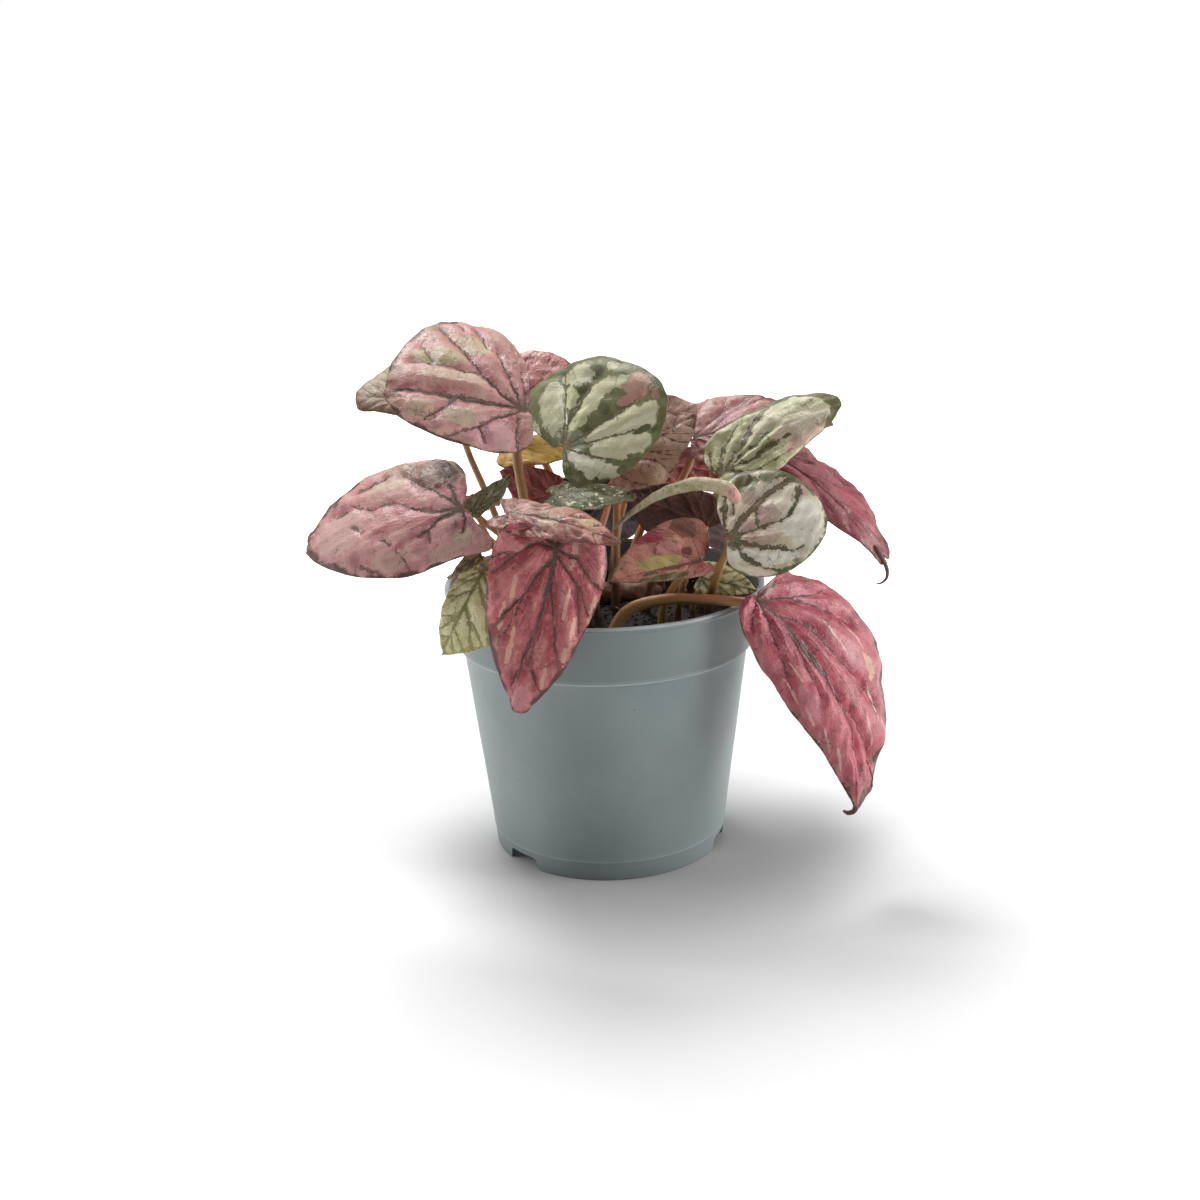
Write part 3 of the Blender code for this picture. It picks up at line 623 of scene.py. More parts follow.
# Millimetres and degrees. shift: moves the blade off its frame place; reach: from the stalk to the
# tip (x, y, z); faces: compass turn and height of the way the upper face looks; widths, back: half
# widths and reach behind the stalk, left and right; arch, roll: bends along and across; skew, point,
# bow: outline; grid: rays and rings of the mesh; midrib: its half width; ruffle, puff: how frilled and
# quilted the blade is. push: (angle, spread, out, on) moves the margin near an angle from the tip,
# right side positive. veins: for each side the angle off the midrib, the bend, and where the veins
# leave it, those round the stalk below zero.
leafForms = {
    "top_left": {"reach": (-50, -10, 10), "faces": (5, 50), "widths": (20, 46), "back": (8, 6),
                 "arch": 30, "roll": (20, 30), "skew": 0.3, "paint": "pink", "grid": (144, 48),
                 "midrib": 0.9,
                 "push": ((60, 35, 2.5, 1.0), (110, 35, 2.0, 0), (0, 25, 0, -2.0),
                          (-50, 30, 2.0, 1.5)),
                 "veins": ((56, 0.01, (-30, -18, -8, 4, 12, 20, 29, 40)),
                           (38, 0.004, (-34, -22, -8, 4, 26, 38)))},
    "far_left": {"reach": (-42, 2, 6), "faces": (10, 55), "widths": (8, 28), "back": (6, 6),
                 "arch": 25, "roll": (20, 20), "skew": 0.25, "paint": "olive", "grid": (96, 28),
                 "midrib": 0.5, "push": ((0, 60, 0, -3), (25, 30, 3, 0), (-25, 30, 4, 0)),
                 "veins": evenVeins(45, (11, 4), (12, 6))},
    "left": {"reach": (-56, 10, -16), "faces": (-8, 52), "widths": (23, 30), "back": (14, 6),
             "arch": 25, "roll": (30, 20), "skew": 0.3, "paint": "pink", "grid": (144, 48),
             "midrib": 0.35, "ruffle": 0.25, "puff": 0.55,
             "push": ((50, 35, 3.5, 2.0), (0, 30, 0, 0.5), (-120, 20, -4.0, 0), (-140, 20, 0, -5.0),
                      (-40, 30, 2.0, 0)),
             "veins": ((48, 0.01, (-38, -26, -15, -4, 8, 22, 38)),
                       (34, 0.006, (-42, -30, -20, -9, 6, 24, 40)))},
    "top_back": {"reach": (30, 6, 10), "faces": (-10, 40), "widths": (20, 14), "back": (8, 8),
                 "arch": 30, "roll": (20, 20), "skew": 0.2, "paint": "pink", "grid": (96, 28),
                 "midrib": 0.5, "veins": evenVeins(45, (11, 4), (11, 7))},
    "crown": {"reach": (36, -6, 19), "faces": (0, 42), "widths": (32, 21), "back": (13, 9),
              "arch": 20, "roll": (20, 20), "skew": 0.1, "point": 0.1, "paint": "silver",
              "grid": (144, 48), "midrib": 0.4,
              "push": ((-140, 30, 5.0, -8.0), (-50, 25, -2.0, 0), (120, 40, -2.0, 0)),
              "veins": ((46, 0.0, (-36, -27, -18, -6.3, 0, 17, 34)),
                        (12, 0.0, (-40, -29, -18, -7.3, 0, 14)))},
    "right_of_crown": {"reach": (32, 4, 15), "faces": (15, 40), "widths": (14, 19), "back": (9, 9),
                       "arch": 20, "roll": (15, 25), "paint": "pink", "grid": (112, 34),
                       "midrib": 0.5, "veins": evenVeins(35, (12, 4), (12, 7))},
    "behind_crown": {"shift": (4, 0, -3), "reach": (25, 4, 12), "faces": (15, 45),
                     "widths": (15, 17), "back": (5, 5), "arch": 20, "roll": (15, 25),
                     "paint": "olive", "grid": (96, 28), "midrib": 0.5,
                     "veins": evenVeins(45, (11, 4), (11, 7))},
    "speckled": {"shift": (-4, 0, 5), "reach": (28, -3, -1), "faces": (0, 80), "widths": (14, 12),
                 "back": (10, 10), "arch": 25, "roll": (25, 25), "skew": 0.2, "paint": "silver",
                 "grid": (96, 28), "midrib": 0.5,
                 "veins": evenVeins(45, (9, 3), (9, 6))},
    "yellow": {"reach": (30, 6, -1), "faces": (0, 72), "widths": (11, 12), "back": (8, 8),
               "arch": 25, "roll": (15, 15), "skew": 0.2, "paint": "olive", "grid": (80, 22),
               "midrib": 0.4, "veins": evenVeins(45, (11, 4), (11, 7))},
    "inner": {"reach": (-24, 5, 12), "faces": (175, 25), "widths": (11, 11), "back": (5, 5),
              "arch": 15, "roll": (15, 15), "skew": 0.2, "paint": "red", "grid": (80, 22),
              "midrib": 0.4, "veins": evenVeins(45, (10, 4), (10, 7))},
    "ridge": {"shift": (-4, -3, -2), "reach": (37, -11, -8), "faces": (0, 68), "widths": (12, 9),
              "back": (12, 12), "arch": 20, "roll": (25, 25), "skew": 0.2, "paint": "pink",
              "grid": (112, 34), "midrib": 0.5,
              "veins": evenVeins(45, (12, 4), (12, 7))},
    "front": {"reach": (-15, 1, -60), "faces": (0, 8), "widths": (19, 22), "back": (13, 12),
              "arch": 35, "roll": (10, 10), "paint": "red", "grid": (144, 48), "midrib": 0.7,
              "point": 0.6,
              "push": ((10, 14, 2.0, -0.5), (-12, 14, 1.5, -0.5), (-95, 40, -1.5, 0),
                       (100, 50, -1.0, 0)),
              "veins": ((35, 0.045, (-40, -27, -14, -3, 9, 26, 42)),
                        (38, 0.012, (-40, -26, -15, -6, 4, 20, 38)))},
    "low_left": {"reach": (-15, -4, -28), "faces": (-10, 25), "widths": (18, 8), "back": (6, 6),
                 "arch": 10, "roll": (10, 10), "skew": 0.2, "paint": "olive", "grid": (96, 30),
                 "midrib": 0.4, "push": ((0, 9, 0, 3.0), (14, 10, -0.6, 0)),
                 "veins": evenVeins(45, (10, 3), (10, 7))},
    "dry": {"reach": (-12, 0, -8), "faces": (0, 60), "widths": (3, 4), "back": (2, 2), "arch": 20,
            "roll": (10, 10), "paint": "olive", "grid": (48, 12), "midrib": 0.2,
            "veins": evenVeins(45, (5, 3), (5, 4))},
    "thin": {"reach": (14, 4, 12), "faces": (60, 5), "widths": (5, 6), "back": (4, 4), "arch": 20,
             "roll": (30, 30), "paint": "olive", "grid": (48, 12), "midrib": 0.2,
             "veins": evenVeins(25, (7, 3), (7, 5))},
    "back_right": {"reach": (53, 6, 3), "faces": (0, 50), "widths": (20, 12), "back": (8, 8),
                   "arch": 25, "roll": (25, 25), "paint": "pink", "grid": (112, 34), "midrib": 0.5,
                   "veins": evenVeins(40, (14, 5), (14, 9))},
    "upper_right": {"reach": (43, 5, 25), "faces": (-10, 50), "widths": (18, 12), "back": (7, 5),
                    "arch": 25, "roll": (20, 100), "skew": 0.3, "point": 0.1, "paint": "silver",
                    "grid": (128, 40), "midrib": 0.4,
                    "veins": ((16, 0.0, (-36, -24, -13, -6, 0, 12, 26)),
                              (20, 0.0, (-36, -24, -12, 0, 14, 30)))},
    "silver_round": {"reach": (33, 0, 6), "faces": (5, 35), "widths": (26, 16), "back": (6, 6),
                     "arch": 10, "roll": (15, 15), "skew": 0.1, "point": 0.1, "paint": "silver",
                     "grid": (128, 40), "midrib": 0.4, "push": ((-90, 45, -2.5, 0),),
                     "veins": ((30, 0.0, (-36, -26, -17, -8, 0, 13, 26)),
                               (25, 0.0, (-36, -25, -15, -7, 0, 14)))},
    "far_right": {"reach": (44, -10, -43), "faces": (20, 62), "widths": (20, 10), "back": (8, 8),
                  "arch": 45, "roll": (30, 60), "paint": "red", "grid": (128, 40), "midrib": 0.5,
                  "push": ((-50, 30, 4.5, 0), (0, 14, 0, -8.0), (-100, 30, -1.5, 0)), "ruffle": 0.8,
                  "veins": ((26, 0.01, (-36, -24, -13, -3, 12, 30, 46)),
                            (26, 0.01, (-36, -24, -13, 0, 18, 36)))},
    "big_red": {"reach": (35, -5, -78), "faces": (30, 20), "widths": (27, 10), "back": (10, 6),
                "arch": 20, "roll": (25, 30), "skew": 0.1, "bow": -11, "point": 0.5, "paint": "red",
                "grid": (160, 48), "midrib": 0.9, "ruffle": 0.8,
                "push": ((-100, 45, 4.5, 0), (-150, 25, 3.0, -1.0), (105, 45, 9.0, 0),
                         (170, 20, 0, -2.0), (-12, 12, 7.0, 0.5)),
                "veins": ((34, 0.006, (-40, -29, -19, -9, 4, 20, 38, 56)),
                          (20, 0.0, (-40, -26, -12, 0, 14, 32, 50, 66)))},
    "hollow": {"shift": (0, 0, 10), "reach": (-28, -8, 14), "faces": (180, 25), "widths": (14, 14),
               "back": (12, 12), "arch": 25, "roll": (15, 15), "skew": 0.2, "paint": "olive",
               "grid": (96, 30), "midrib": 0.5,
               "veins": evenVeins(45, (10, 3), (10, 7))},
    "young": {"reach": (-32, -4, -5), "faces": (0, 30), "widths": (5, 17), "back": (10, 10),
              "arch": 15, "roll": (10, 10), "paint": "red", "grid": (96, 30), "midrib": 0.5,
              "veins": evenVeins(40, (10, 3), (10, 7))},
    "low_right": {"reach": (20, -4, -4), "faces": (-10, 40), "widths": (8, 6), "back": (4, 4),
                  "arch": 15, "roll": (10, 10), "paint": "olive", "grid": (64, 18), "midrib": 0.4,
                  "veins": evenVeins(45, (7, 3), (7, 5))},
    "back_left": {"reach": (-30, 18, -24), "faces": (215, 55), "widths": (20, 22), "back": (9, 9),
                  "arch": 25, "roll": (20, 20), "paint": "pink", "grid": (112, 34), "midrib": 0.6,
                  "veins": evenVeins(42, (12, 5), (12, 10))},
    "back_middle": {"shift": (9, -2, -4), "reach": (-10, 31, -36), "faces": (185, 45),
                    "widths": (32, 32), "push": ((0, 60, 0, 7.0),), "back": (9, 9), "arch": 25,
                    "roll": (20, 20), "paint": "silver", "grid": (112, 34), "midrib": 0.5,
                    "veins": evenVeins(36, (16, 6), (16, 11))},
    "back_low": {"reach": (30, 24, -34), "faces": (150, 45), "widths": (24, 24), "back": (19, 19),
                 "arch": 20, "roll": (20, 20), "paint": "red", "grid": (112, 34), "midrib": 0.6,
                 "veins": evenVeins(40, (12, 4), (12, 9))},
    "back_upper": {"reach": (-33, 21, 0), "faces": (200, 58), "widths": (17, 17), "back": (8, 8),
                   "arch": 25, "roll": (20, 20), "paint": "pink", "grid": (112, 34), "midrib": 0.6,
                   "veins": evenVeins(42, (12, 5), (12, 10))},
    "back_high": {"shift": (0, -6, -13), "reach": (33, 20, -10), "faces": (160, 25),
                  "widths": (18, 17), "back": (8, 8), "arch": 25, "roll": (20, 20), "paint": "pink",
                  "grid": (112, 34), "midrib": 0.6,
                  "veins": evenVeins(42, (12, 4), (12, 9))},
}

for form in leafForms.values():
    for key, value in (("shift", (0, 0, 0)), ("skew", 0.42), ("point", 0.6), ("bow", 0), ("ruffle", 0.4),
                       ("puff", 1.0), ("push", ())):
        form.setdefault(key, value)

# veins drawn one by one: half width at the start and end, then places (across, forward), right
# side positive, in millimetres
leafStrokes = {
    "top_left": (
        (0.5, 1.5, (0, 0), (-1, 10), (-1.5, 22)), (1.5, 0.35, (-1.5, 22), (-0.5, 32), (0, 46)),
        (0.3, 0.2, (0, 46), (3, 53)), (0.3, 0.2, (0, 46), (-4, 50)),
        (0.9, 0.3, (0, 2), (4.5, 10), (12, 17), (22, 22), (34, 30), (38, 31)),
        (0.4, 0.3, (12, 17), (11.5, 23), (13, 28), (14, 42)), (0.25, 0.2, (24, 38), (15, 34)),
        (0.6, 0.2, (0, 2), (7, 4), (16, 7), (27, 9)), (0.35, 0.15, (0, 0), (8, 0), (18, 1)),
        (0.3, 0.2, (28, 13), (43, 17)), (0.3, 0.2, (38, 21), (45, 25)),
        (0.4, 0.2, (0, 1), (-4, 6), (-8, 13), (-12, 18), (-15, 25)),
        (0.35, 0.25, (-2, 26), (-7, 31), (-12, 37)), (0.25, 0.2, (-4, 3), (-11, 4), (-17, 2)),
        (0.25, 0.2, (-12, 18), (-17, 15)), (0.25, 0.2, (-15, 25), (-18, 30))),
    "left": (
        (0.8, 0.25, (0, 0), (6, 3), (16, 5), (25, 5)), (0.3, 0.2, (16, 5), (24, 9)),
        (0.7, 0.3, (0, 0), (9, 8), (14, 15), (22, 22)), (0.25, 0.2, (20, 20), (27, 18)),
        (0.9, 0.3, (0, 0), (0.5, 8), (1.5, 13), (5, 20), (8.5, 25)),
        (0.3, 0.2, (8.5, 25), (8, 34), (13, 42)), (0.8, 0.4, (0, 0), (-3, 8), (-7, 12), (-8, 16)),
        (0.4, 0.25, (-7, 12), (-11, 11)), (0.6, 0.3, (0, 0), (-5, -1), (-9, 0)),
        (0.5, 0.3, (0, 0), (-3, -5)), (0.4, 0.2, (0, 0), (5, -2), (11, -2)),
        (0.3, 0.2, (22, 30), (19, 40)), (0.25, 0.15, (11, 42), (9, 48)),
        (0.25, 0.15, (-12, 24), (-19, 20)), (0.2, 0.15, (-14, 38), (-18, 32)),
        (0.2, 0.15, (-6, 30), (-9, 26)), (0.2, 0.15, (2, 40), (-1, 36))),
    "crown": (
        (0.6, 0.5, (0, 0), (-8, 3), (-20, 6.5), (-29, 8)),
        (0.5, 0.8, (0, 0), (-7, 4.5), (-12.5, 11), (-19, 19)),
        (0.7, 0.5, (0, 0), (0, 8), (-0.5, 15)), (0.4, 0.3, (-0.5, 15), (-1, 24), (-3, 33)),
        (0.6, 0.4, (0, 0), (3.5, 9), (6, 20), (8.5, 30), (10, 37)),
        (0.6, 0.4, (0, 0), (7, 7), (12, 13), (16, 20), (18, 26)),
        (0.6, 0.4, (0, 0), (5, -1), (12, 1), (18, 6)),
        (0.5, 0.3, (0, 0), (-3, -3), (-9, -7), (-15, -11))),
    "front": (
        (1.1, 0.9, (0, 0), (0, 8), (0, 19)), (0.8, 0.3, (0, 19), (1, 30), (3, 42), (5, 52)),
        (0.5, 0.25, (0, 12), (-2, 18), (-4, 25), (-6.5, 34), (-9.5, 42)),
        (0.5, 0.25, (0, 4), (-6, 9), (-10, 12), (-12, 16), (-15, 22)),
        (0.3, 0.2, (-9, 11), (-11, 20), (-13, 28)),
        (0.5, 0.3, (0, 2), (-7, 4), (-12, 9), (-17, 12)),
        (0.7, 0.3, (0, 2), (5, 1), (9, 3), (13, 7), (19, 14)),
        (0.9, 0.3, (0, 5), (3, 9), (5, 14), (7, 19), (12, 26), (15, 33)),
        (0.3, 0.2, (7, 19), (9, 27), (11, 34)), (0.6, 0.3, (0, 1), (8, -3), (17, 0)),
        (0.25, 0.15, (1, 31), (0, 44)), (0.4, 0.2, (-1, 45), (-3, 50), (-7, 54)),
        (0.3, 0.2, (13, 7), (17, 7), (20, 9))),
    "big_red": (
        (0.6, 0.9, (0, 0), (0, 10), (1, 18)), (0.9, 1.6, (1, 18), (1.5, 25)),
        (1.5, 0.5, (1.5, 25), (1, 36), (0, 50)), (0.5, 0.25, (0, 50), (-1, 60), (-2, 76)),
        (0.7, 0.4, (0, 8), (-4, 14), (-7, 20)),
        (0.8, 0.3, (0, 0), (-5, 3), (-9.5, 6), (-14, 12), (-18, 19), (-23, 26)),
        (0.5, 0.3, (-9.5, 6), (-15, 8), (-23, 11)),
        (0.5, 0.25, (-6, 18), (-7, 30), (-10, 41), (-13, 50), (-16, 58)),
        (0.4, 0.25, (-1, 51), (-4, 58), (-6, 66), (-9, 73)),
        (0.5, 0.3, (0, 1), (4, 8), (8.5, 17), (12, 27), (14, 36)),
        (0.3, 0.2, (2, 16), (5, 30), (6, 42)), (0.5, 0.3, (0, 0), (5, 3), (10, 7)),
        (0.4, 0.2, (0, 0), (3, -3), (6, -4)), (0.4, 0.3, (0, 0), (-5, -4), (-12, -4))),
    "silver_round": (
        (0.9, 1.4, (0, 0), (-5.5, 5), (-9.5, 10), (-13.5, 16)),
        (1.4, 1.2, (-13.5, 16), (-16, 23), (-17, 30)),
        (0.5, 0.25, (0, 1), (-1.5, 11), (-2.5, 18), (-4, 22), (-8, 25)),
        (0.8, 1.0, (-8, 25), (-13, 27)), (0.35, 0.2, (-9, 10), (-5, 10.5), (-1.5, 10)),
        (0.7, 0.5, (0, 1), (4, 6), (6, 12), (7, 16), (9, 20), (8, 24)),
        (0.4, 0.5, (0, 0), (4, 2), (9, 5), (13, 10), (15, 15)),
        (0.9, 0.8, (0, 0), (-4, -1), (-9, 0), (-16, 1)),
        (0.6, 0.6, (-8, 3), (-13, 4), (-18, 7), (-20, 12))),
    "upper_right": (
        (0.7, 1.4, (0, 2), (-3, 8), (-5, 13), (-9, 19), (-13, 26), (-14, 31)),
        (0.8, 0.6, (0, 0), (-4, 3), (-8.5, 6), (-11, 10), (-14, 15)),
        (0.35, 0.2, (0, 3), (-1, 10), (-1.5, 17), (-3.5, 25)),
        (0.5, 0.3, (0, 4), (2.5, 12), (2, 19), (2, 28)),
        (0.3, 0.2, (0, 3), (5, 8), (7, 16), (7, 26)), (0.6, 0.5, (0, 0), (-5, -1), (-11, 1))),
}

# leaves whose whole upper face is deeper in tone
leafShade = {"far_left": 0.33, "far_right": 0.27, "top_left": 0.13, "left": 0.14, "back_right": 0.13,
             "ridge": 0.1, "young": 0.15, "big_red": 0.1}

# patches of colour: colour, across, forward, half width, half length
leafPatches = {
    "top_left": (
        ((188, 146, 120), 29, 25, 3, 7), ((206, 182, 156), 27, 18, 6, 7),
        ((196, 178, 138), 18, 32, 5, 11), ((172, 160, 112), 17.5, 31, 3.5, 8),
        ((210, 182, 162), 8, 26, 3, 13), ((196, 122, 128), 41, 17, 4, 6),
        ((172, 118, 102), -4, 48, 5, 5), ((182, 128, 112), 4, 50, 4, 4),
        ((220, 158, 168), -14, 13, 6, 11), ((200, 160, 140), -8, 38, 4, 6),
        ((156, 116, 92), 36, 34, 3, 8), ((186, 126, 112), 16, 43, 4, 3),
        ((196, 170, 150), -9, 24, 4, 7)),
    "left": (
        ((112, 76, 52), 20, 9, 9, 12), ((156, 114, 88), 25, 23, 5, 8),
        ((204, 178, 152), 18, 28, 4, 8), ((200, 168, 146), -11, 0, 4, 4),
        ((206, 158, 148), -17, 6, 4, 6), ((208, 158, 150), -15, 26, 4, 9),
        ((194, 112, 120), -3, 19, 2.5, 13), ((186, 128, 124), 12, 27, 3, 10),
        ((214, 168, 164), 2, 45, 10, 10)),
    "crown": (
        # the three palest patches, about a millimetre thin, are painted highlights on the panels' ridges
        ((134, 142, 112), 1, 3, 8, 6), ((206, 208, 172), -16, 0, 11, 5.5),
        ((210, 210, 178), -22, 2, 6, 5), ((226, 222, 196), -14, 4, 8.5, 0.9),
        ((210, 210, 176), -24, 14, 5.5, 5.5), ((202, 204, 164), -17, 8, 5, 3.5),
        ((196, 194, 152), -26, 8, 2.5, 2), ((200, 202, 160), -6, 8, 3, 5.5),
        ((200, 200, 158), -9.5, 14, 4.5, 6.5), ((204, 198, 164), -13, 21, 4, 6.5),
        ((226, 218, 190), -9, 15, 1, 6), ((208, 212, 176), -11, 29, 3, 3),
        ((212, 208, 176), 3, 17, 3.5, 8.5), ((204, 202, 164), 3.5, 26, 5.5, 7.5),
        ((214, 208, 176), 5, 34, 4.5, 6.5), ((230, 222, 196), 5, 28, 1, 8.5),
        ((208, 206, 172), 8, 14, 3.5, 6), ((204, 202, 164), 10.5, 20, 5, 6.5),
        ((210, 206, 172), 12.5, 26, 3.5, 5), ((216, 216, 190), 5, 3, 2.5, 3),
        ((216, 216, 190), 9, 5, 3, 3.5), ((212, 212, 184), 13, 8, 3.5, 5),
        ((212, 210, 180), 17.5, 12, 3.5, 5), ((200, 204, 166), -12, -9, 5, 2),
        ((196, 150, 138), -8, 35, 4.5, 7.5), ((190, 140, 126), -4, 31, 2, 7.5),
        ((178, 128, 108), -1, 39, 2.5, 3), ((198, 188, 152), -21, 27, 2.5, 2.5),
        ((86, 88, 48), -5, 19, 2.5, 2), ((86, 86, 46), 8.5, 29, 1.4, 3.5),
        ((88, 86, 50), 18.5, 17, 1.5, 2), ((80, 78, 44), -20.5, 22, 1.2, 2)),
    "front": (
        # the first, large dark maroon patch over the lobes behind the stalk is painted shade under the
        # ridge leaf
        ((108, 48, 50), 0, -9, 22, 8), ((150, 46, 58), -2, 36, 4, 9),
        ((192, 108, 114), 16, 5, 5, 4), ((146, 44, 56), 5, 24, 2, 5),
        ((200, 150, 138), -6, 2, 1.2, 5), ((204, 156, 132), 8, 37, 0.9, 8),
        ((204, 156, 132), 13, 28, 1, 5), ((202, 152, 132), 11, 18, 0.8, 5),
        ((204, 156, 136), -16, 19, 1, 6), ((206, 158, 134), -11, 28, 0.9, 6),
        ((202, 156, 128), -10, 38, 0.9, 5), ((202, 146, 130), -16, 8, 1, 5),
        ((206, 158, 134), -7, 20, 0.7, 6), ((204, 154, 134), -5, 46, 0.8, 5),
        ((112, 62, 54), 14, 39, 2.5, 6), ((184, 112, 118), 1, 56, 6, 5)),
    "big_red": (
        ((178, 142, 142), -6, -3, 5, 4), ((150, 48, 64), 4, 20, 2.5, 12),
        ((202, 128, 138), -14, 35, 3, 8), ((200, 122, 134), 10, 42, 2.5, 8),
        ((198, 122, 134), -14, 8, 4, 5), ((152, 50, 64), -4, 24, 2, 9),
        ((150, 48, 62), -20, 3, 4, 5), ((208, 170, 134), -19, 44, 2, 6),
        # the thin cream streaks near the margins are painted highlights
        ((226, 192, 176), -12, 27, 0.5, 7), ((226, 192, 176), -20, 31, 0.5, 8),
        ((222, 188, 172), -15, 56, 0.5, 7), ((226, 190, 176), -9, 62, 0.5, 6),
        ((224, 190, 174), 9, 58, 0.5, 6), ((226, 192, 178), 12, 46, 0.6, 5),
        ((224, 188, 172), 14, 36, 0.5, 5), ((226, 194, 178), 6, 66, 0.5, 5),
        ((222, 186, 170), 9, 30, 0.4, 5), ((224, 190, 174), -17, 66, 0.5, 5)),
    "young": (
        ((210, 142, 122), 3, 24, 5, 8), ((164, 62, 74), 12, 16, 2.5, 10),
        ((122, 74, 58), 13, 3, 5, 5), ((196, 176, 108), 2.5, 14, 2.5, 9),
        ((104, 94, 48), -3.5, 15, 1.8, 12), ((120, 60, 54), 4, 4, 2, 2),
        ((96, 90, 46), -1, 18, 0.8, 3), ((100, 92, 46), -0.5, 10, 0.8, 3),
        ((206, 140, 136), 7, 10, 2.5, 5)),
    "ridge": (
        ((196, 170, 140), 0, 14, 4, 4), ((198, 168, 136), -4, 26, 3, 4),
        ((130, 66, 58), 0, 38, 8, 5), ((150, 108, 84), 3, 20, 2, 3)),
    "top_back": (((110, 74, 66), -8, 4, 3, 3), ((212, 150, 150), 4, 16, 5, 8)),
    "far_right": (((190, 92, 104), -8, 40, 6, 12), ((120, 66, 70), -8, 8, 5, 9)),
    "silver_round": (
        ((216, 210, 196), 0, 27, 9, 9), ((176, 146, 136), -5, 14, 4, 4.5),
        ((178, 148, 138), -3, 6, 3, 4), ((176, 150, 136), -13, 10, 3, 4),
        ((176, 146, 130), 3, 10, 3, 7), ((204, 194, 178), -14, 16, 3, 4),
        ((98, 100, 64), -19, 9, 4, 5), ((98, 100, 64), -20, 19, 3, 6),
        ((100, 100, 64), -17, 29, 2.5, 6), ((214, 208, 188), -21, 25, 1.5, 2.5),
        ((102, 102, 66), -11, 33, 2.5, 4), ((222, 216, 200), 10, 14, 2.5, 8),
        ((210, 208, 192), 7, 2, 2, 8), ((106, 108, 76), 1, 1, 3.5, 3),
        ((100, 100, 66), 13, 22, 1.5, 4)),
    "upper_right": (
        ((124, 108, 62), 2, 21, 1.5, 5), ((134, 84, 64), 4.5, 41, 2, 6),
        ((122, 82, 42), 7, 6, 2, 5), ((196, 156, 140), 6, 33, 3, 9),
        ((208, 200, 168), -7, 24, 4, 10), ((204, 186, 160), 1, 34, 4, 12)),
}

# lengths in millimetres; drawnSwell and evenSwell: height and reach of the quilting on leaves with
# drawn and with even veins; teeth, puckers, waves, frill: height and size of the margin's and the
# surface's ripples
bladeSettings = {
    "thickness": 0.5, "frameThickness": 0.8, "frameRays": 20, "frameRings": 3, "midribSteps": 48,
    "notchDepth": 0.8, "notchWidth": 0.45, "slit": 0.08, "crowding": 0.85, "fork": 0.28, "farAway": 50.0,
    "fanScale": 15.0, "strokeScale": 0.7, "swell": 1.3, "drawnSwell": (1.25, 2.6), "evenSwell": (1.0, 2.2),
    "swellCurve": 1.2, "fullGap": 9.0, "smallestGap": 0.15, "wander": (1.1, 26.0), "teeth": (0.012, 7.5),
    "puckers": (0.32, 6.0), "waves": (1.2, 24.0), "frill": (1.5, 8.0), "weld": 0.04,
}


def midribPath(form):
    steps = bladeSettings["midribSteps"]
    chord = np.linalg.norm(form["reach"])
    slopes = -math.radians(form["arch"]) * np.arange(steps + 1) / steps
    middle = (slopes[1:] + slopes[:-1]) / 2
    strides = np.column_stack((np.cos(middle), np.sin(middle)))
    spots = np.vstack(([0.0, 0.0], np.cumsum(strides, axis=0)))
    spots /= steps
    tilt = math.atan2(spots[-1, 1], spots[-1, 0])
    length = chord / np.linalg.norm(spots[-1])
    turn = np.array(((math.cos(tilt), math.sin(tilt)), (-math.sin(tilt), math.cos(tilt))))
    return spots @ turn.T * length, slopes - tilt, length


def flatPlace(form, angle, share):
    # flat side (never negative) and forward distance of a point on the ray at an angle
    left = angle < 0
    _, _, length = midribPath(form)
    width = np.where(left, form["widths"][0], form["widths"][1])
    back = np.where(left, form["back"][0], form["back"][1])
    turn = np.abs(angle)
    towardTip = (1 + np.cos(turn)) / 2
    forward = (length - back) / 2 + (length + back) / 2 * np.cos(turn)
    side = width * np.sin(turn - form["skew"] * np.sin(turn))
    side = side * (1 - form["point"] * towardTip ** 8)
    notch = np.exp(-((np.pi - turn) / bladeSettings["notchWidth"]) ** 2)
    forward = forward + bladeSettings["notchDepth"] * back * notch
    return side * share, forward * share


def bentPlace(form, angle, side, forward, lift):
    # the flat place on the bent blade, in the leaf's own frame
    spots, slopes, length = midribPath(form)
    left = angle < 0
    width = np.where(left, form["widths"][0], form["widths"][1])
    bend = np.radians(np.where(left, form["roll"][0], form["roll"][1])) / width
    slant = bend * side
    across = np.sin(slant) / bend + lift * np.sin(slant)
    height = lift * np.cos(slant) - (1 - np.cos(slant)) / bend
    across = np.where(left, -across, across)
    along = np.clip(forward, 0, None) / length
    across = across + form["bow"] * 4 * along * (1 - along)
    steps = bladeSettings["midribSteps"]
    place = np.clip(forward / length, 0, 1) * steps
    spotX = np.interp(place, np.arange(steps + 1), spots[:, 0])
    spotY = np.interp(place, np.arange(steps + 1), spots[:, 1])
    slope = np.interp(place, np.arange(steps + 1), slopes)
    behind = np.minimum(forward, 0)
    spotX = spotX + behind * math.cos(slopes[0])
    spotY = spotY + behind * math.sin(slopes[0])
    return np.column_stack((across, spotX - height * np.sin(slope), spotY + height * np.cos(slope)))


def leafAxes(form):
    forward = unit(np.array(form["reach"], float))
    turn, height = np.radians(form["faces"])
    upper = np.array((math.sin(turn) * math.cos(height), -math.cos(turn) * math.cos(height),
                      math.sin(height)))
    upper = unit(upper - forward * (upper @ forward))
    return np.column_stack((np.cross(forward, upper), forward, upper))


